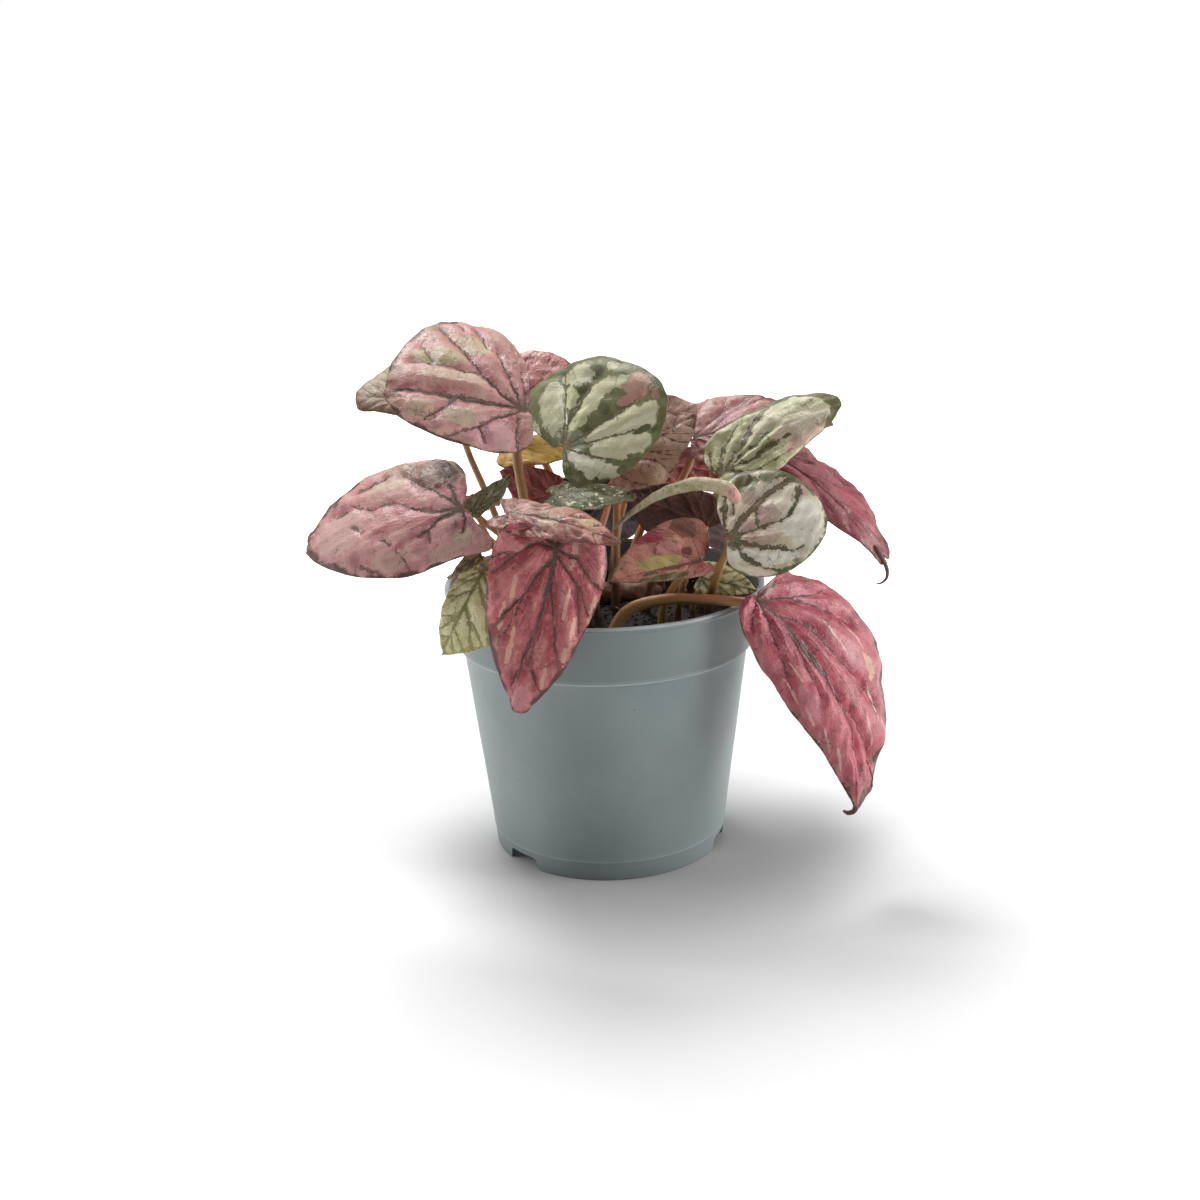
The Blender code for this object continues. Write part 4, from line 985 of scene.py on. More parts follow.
def stalkPoint(name, form):
    # where the stalk meets the blade, in millimetres, from the frame's own blade
    count = bladeSettings["frameRays"]
    rays = -np.pi + 2 * np.pi * (np.arange(count) + 0.5) / count
    rings = np.arange(bladeSettings["frameRings"] + 1) / bladeSettings["frameRings"]
    angle, share = (grid.ravel() for grid in np.meshgrid(rays, rings))
    side, forward = flatPlace(form, angle, share)
    half = bladeSettings["frameThickness"] / 2
    points = np.vstack([bentPlace(form, angle, side, forward, lift) for lift in (half, -half)])
    points = points @ leafAxes(form).T
    low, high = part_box("leaf_" + name)
    centre = (np.array(low) + np.array(high)) / 2 / mm
    return centre - (points.min(axis=0) + points.max(axis=0)) / 2 + form["shift"]


def pushMargin(form, angle, share, side, forward):
    # moves the margin in and out, near the angles that the form gives
    for middle, spread, out, on in form["push"]:
        near = np.exp(-((angle - math.radians(middle)) / math.radians(spread)) ** 2) * share ** 2
        side = side + out * near * np.clip(np.sin(np.abs(angle)) * 3, 0, 1)
        forward = forward + on * near
    return side, forward


def veinPlace(form, side, forward, onLeft):
    # vein coordinate and gap in millimetres; whole numbers lie on veins
    angle, bend, starts = form["veins"][0 if onLeft else 1]
    angle = math.radians(angle)
    fanScale = bladeSettings["fanScale"]
    forward = forward - bend * side ** 2
    turn = np.arctan2(side, np.where(np.abs(forward) + side > 1e-6, forward, 1e-6))
    reach = np.hypot(side, forward)
    inFan = (turn > angle) | (forward <= 0)
    leaving = np.where(inFan, -(turn - angle) * fanScale, forward - side / math.tan(angle))
    height, size = bladeSettings["wander"]
    wander = ripple(np.column_stack((side + (90 if onLeft else 0), forward)), size, 5, 3)
    leaving = leaving + height * wander * smoothStep(1, 12, side)
    starts = np.array(starts, float)
    index = np.clip(np.searchsorted(starts, leaving) - 1, 0, len(starts) - 2)
    interval = starts[index + 1] - starts[index]
    count = index + (leaving - starts[index]) / interval
    spread = np.where(inFan, reach / fanScale, math.sin(angle)) * interval
    return count, np.maximum(spread, bladeSettings["smallestGap"])


def strokeDistance(strokes, side, forward):
    # distance from the nearest drawn vein, less its half width
    spots = np.column_stack((side, forward))
    nearest = np.full(len(spots), bladeSettings["farAway"])
    for start, end, width, nextWidth in stretches(strokes, 1.0):
        along = np.subtract(end, start)
        share = np.clip(((spots - start) @ along) / (along @ along), 0, 1)
        far = np.linalg.norm(spots - start - share[:, None] * along, axis=1)
        nearest = np.minimum(nearest, far - width - (nextWidth - width) * share)
    return np.maximum(nearest, 0.0)


def puffHeight(name, form, side, forward, share, onLeft):
    # quilting: the blade swells between its veins and dips along them
    fade = smoothStep(0.0, 0.12, share) * (1 - 0.7 * smoothStep(0.86, 1.0, share))
    if name in leafStrokes:
        height, reach = bladeSettings["drawnSwell"]
        near = strokeDistance(leafStrokes[name], -side if onLeft else side, forward)
    else:
        height, reach = bladeSettings["evenSwell"]
        count, gap = veinPlace(form, side, forward, onLeft)
        height = height * np.clip(gap / bladeSettings["fullGap"], 0.15, 1.3)
        offCentre = np.abs(count - np.round(count))
        fork = bladeSettings["fork"] * smoothStep(0.45, 1.0, share)
        main = offCentre * gap + 2.0 * smoothStep(0.66, 0.9, share)
        branch = np.abs(offCentre - fork) * gap + 0.4
        midrib = np.where(forward > -1, side, side + 20)
        near = np.maximum(np.minimum(np.minimum(main, branch), midrib), 0.0)
    return height * (1 - np.exp(-(near / reach) ** bladeSettings["swellCurve"])) * fade


def waves(points, setting, seed, octaves):
    height, size = bladeSettings[setting]
    return height * ripple(points, size, seed, octaves)


def bladeLift(name, form, seed, angle, share, side, surface, margin):
    # height of each point over the plain bent blade
    lift = np.zeros(len(angle))
    for onLeft in (True, False):
        chosen = (angle < 0) if onLeft else (angle >= 0)
        lift[chosen] = puffHeight(name, form, side[chosen], surface[chosen, 1], share[chosen], onLeft)
    lift *= bladeSettings["swell"] * form["puff"]
    lift += waves(surface, "puckers", seed + 11, 3) * smoothStep(0.05, 0.3, share)
    lift += form["ruffle"] * waves(surface, "waves", seed + 23, 2) * smoothStep(0.25, 1.0, share)
    return lift + form["ruffle"] * waves(margin, "frill", seed + 31, 2) * smoothStep(0.7, 1.0, share)


def buildBlade(name, form, seed):
    # a grid whose columns are rays round the stalk; their number is odd, so one is the midrib
    piece, flat = addGrid("blade_" + name, *form["grid"])
    mesh = piece.data
    angle = flat[:, 0] * (np.pi - bladeSettings["slit"])
    angle = np.where(np.abs(angle) < 1e-4, 0.0, angle)
    share = ((flat[:, 1] + 1) / 2) ** bladeSettings["crowding"]
    margin = np.column_stack((np.cos(angle), np.sin(angle), np.full(len(angle), seed * 1.7))) * 10.0
    teeth = waves(margin, "teeth", seed + 40, 3) * share ** 4
    side, forward = flatPlace(form, angle, share * (1 + teeth))
    side, forward = pushMargin(form, angle, share, side, forward)
    surface = np.column_stack((np.where(angle < 0, -side, side), forward))
    lift = bladeLift(name, form, seed, angle, share, side, surface, margin)
    bent = bentPlace(form, angle, side, forward, lift)
    writePoints(mesh, bent @ leafAxes(form).T + stalkPoint(name, form))
    # maps that the finish reads, for each corner, because the two sides of the midrib differ
    corners = cornerPoints(mesh)
    onLeft = np.repeat(angle[corners].reshape(-1, 4).mean(axis=1) < 0, 4)[:, None]
    veins = [np.column_stack(veinPlace(form, side, forward, left))[corners] for left in (True, False)]
    writeMaps(mesh, veinMap=np.where(onLeft, *veins), placeMap=surface[corners])
    rim = mesh.attributes.new("rim", "FLOAT", "POINT")
    rim.data.foreach_set("value", share.astype(np.float32))
    mesh.update()
    return piece


def leafPalette(name, form):
    # the palette of the leaf's kind with the leaf's own changes, ready for the shader
    palette = {"crumb": 0.75, "fleckFrom": 0.63, "patchRagged": 0.8}
    palette.update(leafPalettes[form["paint"]], **leafColours.get(name, {}))
    return {key: colour(*value) if isinstance(value, tuple) else value
            for key, value in palette.items()}


def finishBlade(name, form, seed, piece):
    normals = np.empty(len(piece.data.polygons) * 3)
    piece.data.polygons.foreach_get("normal", normals)
    upper = leafAxes(form)[:, 2]
    if (normals.reshape(-1, 3) @ upper).sum() < 0:
        piece.data.flip_normals()
    # the rays meet at the stalk
    weld = piece.modifiers.new("weld", "WELD")
    weld.merge_threshold = bladeSettings["weld"] * mm
    shell = piece.modifiers.new("shell", "SOLIDIFY")
    shell.thickness = bladeSettings["thickness"] * mm
    shell.offset = -1.0
    shell.material_offset = 1
    shell.material_offset_rim = 1
    palette = leafPalette(name, form)
    piece.data.materials.clear()
    for makeMaterial in (leafMaterial, undersideMaterial):
        piece.data.materials.append(makeMaterial(name, palette, seed, form["midrib"]))
    applyAll(piece)
    piece.data.shade_smooth()


for seed, (name, form) in enumerate(leafForms.items(), 1):
    blade = buildBlade(name, form, seed)
    finishBlade(name, form, seed, blade)
    place(blade, ["leaf_" + name], slotOf["leaf_" + name])

print("leaf blades ready")


# stalks: root on the soil or the rhizome (x, y from the pot's axis), then radius under the blade
stalkForms = {
    "top_left": (-24, -3, 1.6), "far_left": (-35, 16, 1.1), "left": (-26, -18, 1.4),
    "top_back": (-9, 5, 1.2), "crown": (-13, -8, 1.6), "right_of_crown": (4, -8, 1.2),
    "behind_crown": (3, 5, 1.0), "speckled": (-3, -17, 1.1), "yellow": (-29, 12, 1.0),
    "inner": (-19, -9, 0.9), "ridge": (-14, -28, 1.0), "front": (-6, -28, 1.4),
    "low_left": (-22, -34, 1.0), "dry": (-33, -19, 0.7), "thin": (-34, -10, 0.7),
    "back_right": (15, 14, 1.3), "upper_right": (15, -10, 1.4), "silver_round": (37, -27, 1.2),
    "far_right": (26, 2, 1.3), "big_red": (3, -36, 1.7), "hollow": (26, -25, 1.0),
    "young": (20, -28, 1.0), "low_right": (32, -14, 0.8), "back_left": (-26, 24, 1.2),
    "back_middle": (-6, 20, 1.2), "back_low": (22, 20, 1.2), "back_upper": (-15, 22, 1.1),
    "back_high": (8, 18, 1.2),
}

# footWidth: how much thicker the foot is; rise, meet: shares of the reach that the stalk leaves the
# soil and meets the blade straight; dusk: share of the length, from the soil up, that is darkened as
# painted shade under the leaves
stalkSettings = {"sides": 14, "rings": 40, "footWidth": 1.35, "rise": 0.45, "meet": 0.25, "seat": 0.1,
                 "sunk": 1.0, "tip": 0.05, "rough": 0.05, "shadedDusk": 0.45, "openDusk": 0.08,
                 "openStalks": ("big_red", "young"), "hairs": 90, "hairLength": (0.8, 1.9),
                 "hairRadius": 0.045, "hairSeat": 0.85, "hairLean": 0.35}


def rollTube(name, path, radii, sides, seed, rough):
    # a grid rolled up round a path; both ends close in a point
    rings = len(path)
    piece, flat = addGrid(name, sides, rings - 1)
    around = (flat[:, 0] + 1) * np.pi
    ring = np.rint((flat[:, 1] + 1) / 2 * (rings - 1)).astype(int)
    along = unitRows(np.gradient(path, axis=0))
    firstSide = unitRows(np.cross(along, (0.0, 1.0, 0.3)))
    otherSide = np.cross(along, firstSide)
    outward = firstSide[ring] * np.cos(around)[:, None] + otherSide[ring] * np.sin(around)[:, None]
    skin = np.column_stack((np.cos(around), np.sin(around), ring * 0.35))
    bulge = 1 + rough * ripple(skin, 2.2, seed, 2)
    writePoints(piece.data, path[ring] + outward * (radii[ring] * bulge)[:, None])
    length = np.concatenate(([0.0], np.cumsum(np.linalg.norm(np.diff(path, axis=0), axis=1))))
    lengthMap = np.column_stack((length[ring] / length[-1], flat[:, 0]))
    writeMaps(piece.data, lengthMap=lengthMap[cornerPoints(piece.data)])
    weld = piece.modifiers.new("weld", "WELD")
    weld.merge_threshold = 0.00001
    applyAll(piece)
    centres = np.array([face.center for face in piece.data.polygons]) / mm
    normals = np.array([face.normal for face in piece.data.polygons])
    nearest = np.argmin(((centres[:, None, :] - path[None, :, :]) ** 2).sum(axis=2), axis=1)
    if ((centres - path[nearest]) * normals).sum() < 0:
        piece.data.flip_normals()
    piece.data.shade_smooth()
    return piece


def stalkPath(name, root):
    # a smooth bend that rises from the soil and meets the blade from below
    form = leafForms[name]
    _, slopes, _ = midribPath(form)
    normal = leafAxes(form) @ np.array((0.0, -math.sin(slopes[0]), math.cos(slopes[0])))
    end = stalkPoint(name, form) - normal * (bladeSettings["thickness"] + stalkSettings["seat"])
    low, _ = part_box("stalk_" + name)
    start = np.array((*root, low[2] / mm - stalkSettings["sunk"]))
    reach = np.linalg.norm(end - start)
    first = start + np.array((0, 0, reach * stalkSettings["rise"]))
    last = end - normal * reach * stalkSettings["meet"]
    t = np.linspace(0, 1, stalkSettings["rings"])[:, None]
    s = 1 - t
    return start * s ** 3 + first * 3 * s * s * t + last * 3 * s * t * t + end * t ** 3


def stalkMaterial(name, dusk):
    material, wires, shader = newMaterial(name)
    lengthMap = wires.uvPlace("lengthMap")
    spot = wires.objectPlace()
    cloud = wires.noise(spot, 260.0, 4.0, 0.6)
    share = wires.math("ADD", wires.split(lengthMap)[0], wires.spread(cloud, 0.4))
    paint = wires.mix(wires.step(share, 0.0, 0.85), colour(176, 136, 80), colour(192, 124, 84))
    paint = wires.mix(wires.step(share, 0.75, 1.0, 0.0, 0.6), paint, colour(156, 86, 66))
    # greener on the lower side
    normal = wires.split(wires.node("NewGeometry").outputs["Normal"])
    upper = wires.step(normal[2], -0.5, 0.6)
    paint = wires.mix(upper, wires.mix(0.65, paint, colour(160, 138, 84)), paint)
    fleck = wires.noise(spot, 1500.0, 3.0, 0.6)
    paint = wires.mix(wires.step(fleck, 0.58, 0.68, 0.0, 0.5), paint, colour(120, 60, 46))
    # painted shade: browner and darker towards the soil, under the leaves
    paint = wires.mix(wires.step(share, dusk, dusk - 0.35, 0.0, 0.85), paint, colour(62, 44, 36))
    wires.feed(shader.inputs["Base Color"], paint)
    wires.feed(shader.inputs["Roughness"], wires.step(cloud, 0.3, 0.7, 0.36, 0.5))
    grooves = wires.noise(wires.stretch(lengthMap, (6.0, 12.0, 1.0)), 3.0, 3.0, 0.5)
    wires.bump(shader, grooves, 0.4, 0.0002)
    return material


def hairMaterial():
    material, wires, shader = newMaterial("stalk_hair", 0.5)
    cloud = wires.noise(wires.objectPlace(), 300.0, 2.0)
    wires.feed(shader.inputs["Base Color"],
               wires.mix(cloud, colour(210, 170, 130), colour(176, 110, 90)))
    return material


def buildHairs(name, roots, outward, lengths):
    # three-sided tapering hairs, each closed at its foot inside the surface
    helper = np.where(np.abs(outward[:, 2:3]) < 0.9, (0.0, 0.0, 1.0), (1.0, 0.0, 0.0))
    first = unitRows(np.cross(outward, helper))
    second = np.cross(outward, first)
    corners = []
    radius = stalkSettings["hairRadius"]
    for turn in (0.0, 2 * np.pi / 3, 4 * np.pi / 3):
        corners.append(roots + (first * math.cos(turn) + second * math.sin(turn)) * radius)
    corners.append(roots + outward * lengths[:, None])
    base = np.arange(len(roots))[:, None] * len(corners)
    faces = np.concatenate([base + np.array(face) for face in ((0, 1, 3), (1, 2, 3), (2, 0, 3),
                                                               (2, 1, 0))])
    return addMesh(name, np.stack(corners, axis=1).reshape(-1, 3), faces, hairMaterial())


def buildStalk(name, root, radius, seed, finish):
    path = stalkPath(name, root)
    share = np.linspace(0, 1, len(path))
    radii = radius * (stalkSettings["footWidth"] - (stalkSettings["footWidth"] - 1) * share)
    radii = radii * (1 + 0.5 * smoothStep(0.93, 1.0, share) + 0.35 * smoothStep(0.08, 0.0, share))
    radii[-1] = radii[0] = stalkSettings["tip"]
    piece = rollTube("petiole_" + name, path, radii, stalkSettings["sides"], seed,
                     stalkSettings["rough"])
    piece.data.materials.append(finish)
    place(piece, ["stalk_" + name], slotOf["stalk_" + name])
    return path, radii


def growHairs(path, radii, random):
    # roots, directions and lengths of the hairs on one stalk
    spots = random.uniform(3, len(path) - 3, stalkSettings["hairs"])
    low = spots.astype(int)
    stretch = path[low + 1] - path[low]
    centre = path[low] + stretch * (spots - low)[:, None]
    axis = unitRows(stretch)
    around = random.normal(size=centre.shape)
    around = unitRows(around - axis * (around * axis).sum(axis=1)[:, None])
    roots = centre + around * (radii[low] * stalkSettings["hairSeat"])[:, None]
    outward = unitRows(around + axis * random.normal(0, stalkSettings["hairLean"], len(spots))[:, None])
    return roots, outward, random.uniform(*stalkSettings["hairLength"], len(spots))


shadedFinish = stalkMaterial("shaded_stalk", stalkSettings["shadedDusk"])
openFinish = stalkMaterial("open_stalk", stalkSettings["openDusk"])
random = np.random.default_rng(7)
hairs = []
for seed, (name, (*root, radius)) in enumerate(stalkForms.items(), 60):
    finish = openFinish if name in stalkSettings["openStalks"] else shadedFinish
    hairs.append(growHairs(*buildStalk(name, root, radius, seed, finish), random))
place(buildHairs("stalk_hairs", *map(np.concatenate, zip(*hairs))), [], "leaf_stalk")
print("leaf stalks ready")


# dark drawn-out tips: places from the blade's tip, in millimetres
tailForms = {
    "far_right": {"path": ((-2, 0.5, 3), (0, 0, 0), (2.2, -0.5, -3.5), (3.4, -1, -7),
                           (3.2, -1, -9.5), (1.6, -0.5, -11.5), (-0.8, 0, -12)),
                  "radii": (0.5, 1.0, 0.85, 0.7, 0.55, 0.4, 0.2)},
    "big_red": {"path": ((1, 1, 4), (0.8, 0.2, 1.5), (-0.3, 0, -0.8), (-2.5, 0, -1.2), (-4.2, 0, -0.2)),
                "radii": (0.5, 1.1, 1.0, 0.8, 0.4)},
}
tailSettings = {"rings": 26, "rounds": 3, "sides": 12, "tip": 0.05, "rough": 0.08,
                "colours": ((104, 70, 66), (78, 60, 58))}


def buildTail(name, tail, seed):
    form = leafForms[name]
    tip = np.array([0.0])
    side, forward = pushMargin(form, tip, 1.0, *flatPlace(form, tip, 1.0))
    tipPlace = (bentPlace(form, tip, side, forward, 0.0) @ leafAxes(form).T + stalkPoint(name, form))[0]
    path, radii = softPath(tail["path"], tail["radii"], tailSettings["rings"], tailSettings["rounds"])
    radii[0] = radii[-1] = tailSettings["tip"]
    piece = rollTube("tail_" + name, path + tipPlace, radii, tailSettings["sides"], seed,
                     tailSettings["rough"])
    material, _, _ = mottledMaterial("tail_" + name, *tailSettings["colours"], 0.5, 500.0, 3.0)
    piece.data.materials.append(material)
    place(piece, [], slotOf["leaf_" + name])


# pale rolled edge of the hollow leaf, arching over the middle: places in millimetres
rolledEdge = {
    "path": ((3, -36, 131), (8, -37, 136), (15, -38, 141.5), (24, -40, 146.5), (33, -43, 149),
             (41, -47, 148.5), (44.5, -50, 146.5), (45.5, -50, 143)),
    "radii": (0.4, 0.9, 1.4, 2.0, 2.4, 2.5, 2.3, 1.4), "rings": 60, "rounds": 12, "sides": 24,
    "tip": 0.05, "roundEnd": (0.9, 0.7, 0.05), "rough": 0.10,
}


def rolledEdgeMaterial():
    material, wires, shader = newMaterial("rolled_edge", 0.5)
    spot = wires.objectPlace()
    cloud = wires.noise(spot, 240.0, 5.0, 0.65)
    fine = wires.noise(spot, 900.0, 4.0, 0.65)
    share = wires.math("ADD", wires.split(wires.uvPlace("lengthMap"))[0], wires.spread(cloud, 0.3))
    # cream, pinker at the round end, with brown patches and dark flecks
    paint = wires.mix(wires.step(cloud, 0.4, 0.6), colour(196, 186, 154), colour(170, 160, 122))
    paint = wires.mix(wires.step(share, 0.86, 0.94), paint, colour(206, 160, 146))
    paint = wires.mix(wires.step(cloud, 0.60, 0.64, 0.0, 0.7), paint, colour(178, 140, 122))
    paint = wires.mix(wires.step(fine, 0.58, 0.62, 0.0, 0.8), paint, colour(104, 98, 60))
    wires.feed(shader.inputs["Base Color"], paint)
    wires.bump(shader, cloud, 0.5, 0.0004)
    return material


def buildRolledEdge():
    path, radii = softPath(rolledEdge["path"], rolledEdge["radii"], rolledEdge["rings"],
                           rolledEdge["rounds"])
    radii[-3:] *= rolledEdge["roundEnd"]
    radii[0] = rolledEdge["tip"]
    piece = rollTube("rolled_edge", path, radii, rolledEdge["sides"], 130, rolledEdge["rough"])
    piece.data.materials.append(rolledEdgeMaterial())
    place(piece, [], slotOf["leaf_hollow"])


for seed, (name, tail) in enumerate(tailForms.items(), 120):
    buildTail(name, tail, seed)
buildRolledEdge()
print("tails ready")
# a pale rootlet that curls up out of the soil, in millimetres
rootletForm = {"place": (5, -37, 94), "rise": 10, "swing": 1.6, "radius": 0.22, "tip": 0.04,
               "rings": 36,
               "sides": 10, "rough": 0.1, "colours": ((176, 160, 132), (128, 104, 78))}


def buildRootlet():
    share = np.linspace(0, 1, rootletForm["rings"])
    swing = rootletForm["swing"] * share
    path = np.column_stack((swing * np.sin(4.5 * share), swing * np.cos(3 * share),
                            rootletForm["rise"] * np.sin(1.5 * share)))
    radii = rootletForm["radius"] * (1 - 0.6 * share)
    radii[0] = radii[-1] = rootletForm["tip"]
    piece = rollTube("rootlet", path + rootletForm["place"], radii, rootletForm["sides"], 140,
                     rootletForm["rough"])
    material, _, _ = mottledMaterial("rootlet", *rootletForm["colours"], 0.6, 900.0, spread=(0.4, 0.6))
    piece.data.materials.append(material)
    place(piece, [], slotOf["potting_soil"])


buildRootlet()
print("rootlet ready")


# notches and drain holes: angles in degrees, lengths in millimetres; paintedHighlights: height, half
# width and strength of the painted highlights along the pot's edges; profile: (radius, height) from
# under the base plate, round the foot, up the outside and down the inside
potForm = {
    "segments": 192, "smoothAngle": 50,
    "notches": (-138, -18, 102), "notchRing": 44, "notchWidth": 22, "notchHeight": 5.0, "notchReach": 8,
    "notchBelow": 3, "notchTop": 0.78, "notchFoot": 1.08, "notchRounding": 1.0,
    "drainHoles": 6, "drainRing": 27, "drainRadius": 4.0, "drainStart": 17, "drainHeight": 8.3,
    "drainDepth": 6, "drainTurn": 0.1,
    "paintedHighlights": ((80.4, 0.55, 0.55), (102.3, 0.6, 0.7), (7.7, 0.45, 0.35)),
    "profile": (
        (3, 7.5), (20, 7.5), (40.5, 7.5), (42.6, 7.5), (43.0, 7.0), (42.5, 0.4), (42.7, 0.1),
        (43.0, 0.0), (43.7, 0.0), (44.0, 0.15), (44.15, 0.5), (44.85, 6.6), (44.95, 7.2),
        (45.15, 7.5), (45.2, 7.9), (45.15, 8.3), (45.4, 11), (46.6, 21), (47.8, 31), (49.1, 41),
        (50.3, 51), (51.5, 61), (52.7, 71), (53.6, 78.4), (53.8, 79.4), (54.1, 79.9), (54.6, 80.1),
        (55.2, 80.15), (55.55, 80.4), (55.65, 80.8), (55.6, 81.3), (55.55, 82.0), (56.4, 86.5),
        (57.3, 91.5), (58.2, 96.5), (58.75, 99.6), (58.95, 100.3), (59.3, 100.6), (59.75, 100.8),
        (59.95, 101.1), (60.0, 101.6), (59.95, 102.1), (59.75, 102.45), (59.4, 102.6),
        (58.6, 102.6), (58.1, 102.5), (57.75, 102.2), (57.55, 101.6), (56.6, 96), (55.6, 90),
        (54.6, 84), (54.1, 82.6), (53.0, 81.4), (52.5, 80.6), (52.2, 79), (50.8, 68), (49.4, 56),
        (47.9, 44), (46.5, 32), (45.1, 20), (44.1, 10.4), (43.7, 9.5), (42.9, 9.1), (20, 9.1),
        (3, 9.1)),
}


def turnUp(name, profile, segments):
    # a disc, whose rim is extruded and scaled from one profile point to the next, then closed
    clearSelection()
    radius, height = profile[0]
    bpy.ops.mesh.primitive_circle_add(vertices=segments, radius=radius * mm,
                                      location=(0, 0, height * mm))
    piece = bpy.context.object
    piece.name = piece.data.name = name
    bpy.ops.object.transform_apply(location=True, rotation=True, scale=True)
    bpy.ops.object.mode_set(mode="EDIT")
    bpy.ops.mesh.select_mode(type="EDGE")
    bpy.ops.mesh.select_all(action="SELECT")
    bpy.ops.mesh.edge_face_add()
    for (lastRadius, lastHeight), (radius, height) in zip(profile, profile[1:]):
        bpy.ops.mesh.select_all(action="DESELECT")
        bpy.ops.mesh.select_non_manifold(extend=False, use_wire=False, use_multi_face=False,
                                         use_non_contiguous=False, use_verts=False)
        bpy.ops.mesh.extrude_edges_move(TRANSFORM_OT_translate={"value": (0, 0,
                                                                          (height - lastHeight) * mm)})
        scale = radius / lastRadius
        bpy.ops.transform.resize(value=(scale, scale, 1), center_override=(0, 0, height * mm))
    bpy.ops.mesh.edge_face_add()
    bpy.ops.mesh.select_all(action="SELECT")
    bpy.ops.mesh.normals_make_consistent(inside=False)
    bpy.ops.object.mode_set(mode="OBJECT")
    return piece


def cutAway(piece, tool):
    cut = piece.modifiers.new("cut", "BOOLEAN")
    cut.operation = "DIFFERENCE"
    cut.solver = "EXACT"
    cut.object = tool
    applyAll(piece)
    bpy.data.objects.remove(tool)


def potMaterial():
    material, wires, shader = newMaterial("pot_plastic")
    spot = wires.objectPlace()
    cloud = wires.noise(spot, 22.0, 4.0, 0.6)
    streaks = wires.noise(wires.stretch(spot, (60.0, 60.0, 12.0)), 1.0, 5.0, 0.65)
    paint = wires.mix(wires.step(cloud, 0.35, 0.65), colour(132, 143, 144), colour(140, 151, 151))
    paint = wires.mix(wires.step(streaks, 0.45, 0.75, 0.0, 0.25), paint, colour(150, 160, 160))
    # scuffs: short pale scratches and a few dark specks
    scratch = wires.noise(wires.stretch(spot, (620.0, 620.0, 60.0), (0.3, 0.5, 0.0)), 1.0, 2.0, 0.5)
    paint = wires.mix(wires.step(scratch, 0.72, 0.78, 0.0, 0.3), paint, colour(172, 180, 180))
    specks = wires.cells(spot, 210.0)
    rare = wires.node("SeparateColor")
    wires.feed(rare.inputs[0], specks.outputs["Color"])
    speck = wires.math("MULTIPLY", wires.step(specks.outputs["Distance"], 0.10, 0.05),
                       wires.step(rare.outputs[0], 0.90, 0.93, 0.0, 0.55))
    paint = wires.mix(speck, paint, colour(70, 76, 76))
    # painted shade: the collar a little darker under the leaves; painted highlights: pale lines along its
    # lower edge, the lip and the foot
    height = wires.math("MULTIPLY", wires.split(spot)[2], 1000.0)
    paint = wires.mix(wires.step(height, 81.2, 82.2, 0.0, 0.5), paint, colour(112, 122, 122))
    for line, halfWidth, strength in potForm["paintedHighlights"]:
        away = wires.math("ABSOLUTE", wires.math("SUBTRACT", height, line))
        highlight = wires.math("MULTIPLY", wires.step(away, halfWidth, halfWidth * 0.4, 0.0, strength),
                          wires.step(streaks, 0.3, 0.5, 0.55, 1.0))
        paint = wires.mix(highlight, paint, colour(196, 204, 204))
    wires.feed(shader.inputs["Base Color"], paint)
    wires.feed(shader.inputs["Roughness"], wires.step(streaks, 0.3, 0.7, 0.40, 0.50))
    shader.inputs["Specular IOR Level"].default_value = 0.45
    fine = wires.math("MULTIPLY", wires.noise(spot, 900.0, 3.0, 0.6), 0.5)
    wires.bump(shader, wires.math("ADD", fine, streaks), 0.25, 0.00012)
    return material


def notchTool(angle):
    # a wedge with rounded edges, wider at its foot
    clearSelection()
    bpy.ops.mesh.primitive_cube_add(size=1.0, location=(0, 0, 0))
    wedge = bpy.context.object
    halfWidth = potForm["notchRing"] * mm * math.tan(math.radians(potForm["notchWidth"] / 2))
    for corner in wedge.data.vertices:
        high = corner.co.z > 0
        reach = halfWidth * potForm["notchTop" if high else "notchFoot"]
        corner.co = (math.copysign(potForm["notchReach"] * mm, corner.co.x),
                     math.copysign(reach, corner.co.y),
                     potForm["notchHeight"] * mm if high else -potForm["notchBelow"] * mm)
    turn = math.radians(angle)
    middle = Vector((math.cos(turn), math.sin(turn), 0)) * potForm["notchRing"] * mm
    wedge.data.transform(Matrix.Translation(middle) @ Matrix.Rotation(turn, 4, "Z"))
    bevel = wedge.modifiers.new("rounding", "BEVEL")
    bevel.width = potForm["notchRounding"] * mm
    bevel.segments = 3
    applyAll(wedge)
    return wedge


def drainTool(angle):
    turn = math.radians(angle)
    ring, height = potForm["drainRing"], potForm["drainHeight"]
    clearSelection()
    bpy.ops.mesh.primitive_cylinder_add(
        vertices=32, radius=potForm["drainRadius"] * mm, depth=potForm["drainDepth"] * mm,
        location=(math.cos(turn) * ring * mm, math.sin(turn) * ring * mm, height * mm),
        rotation=(0, 0, turn + potForm["drainTurn"]))
    return bpy.context.object


def buildPot():
    pot = turnUp("grower_pot", potForm["profile"], potForm["segments"])
    for angle in potForm["notches"]:
        cutAway(pot, notchTool(angle))
    for index in range(potForm["drainHoles"]):
        cutAway(pot, drainTool(potForm["drainStart"] + 360 / potForm["drainHoles"] * index))
    pot.data.materials.append(potMaterial())
    pot.data.shade_smooth()
    clearSelection()
    pot.select_set(True)
    bpy.context.view_layer.objects.active = pot
    bpy.ops.object.shade_smooth_by_angle(angle=math.radians(potForm["smoothAngle"]))
    place(pot, ["pot"], "pot_plastic")


buildPot()
print("pot ready")


# foot, side and edge: the ball's outline inside the pot; edgeDrop, drop: how far its edge and top lie
# under the frame's top; heap, lumps: height of the middle, and (height, size, seed) of its lumps
soilForm = {"segments": 160, "rings": 70, "foot": 43.2, "side": ((52.0, 79.5), (53.6, 82.2)),
            "edge": 54.6,
            "edgeDrop": 1.2, "drop": 0.4, "heap": 1.6, "lumps": ((1.2, 16.0, 3), (0.55, 4.0, 4))}
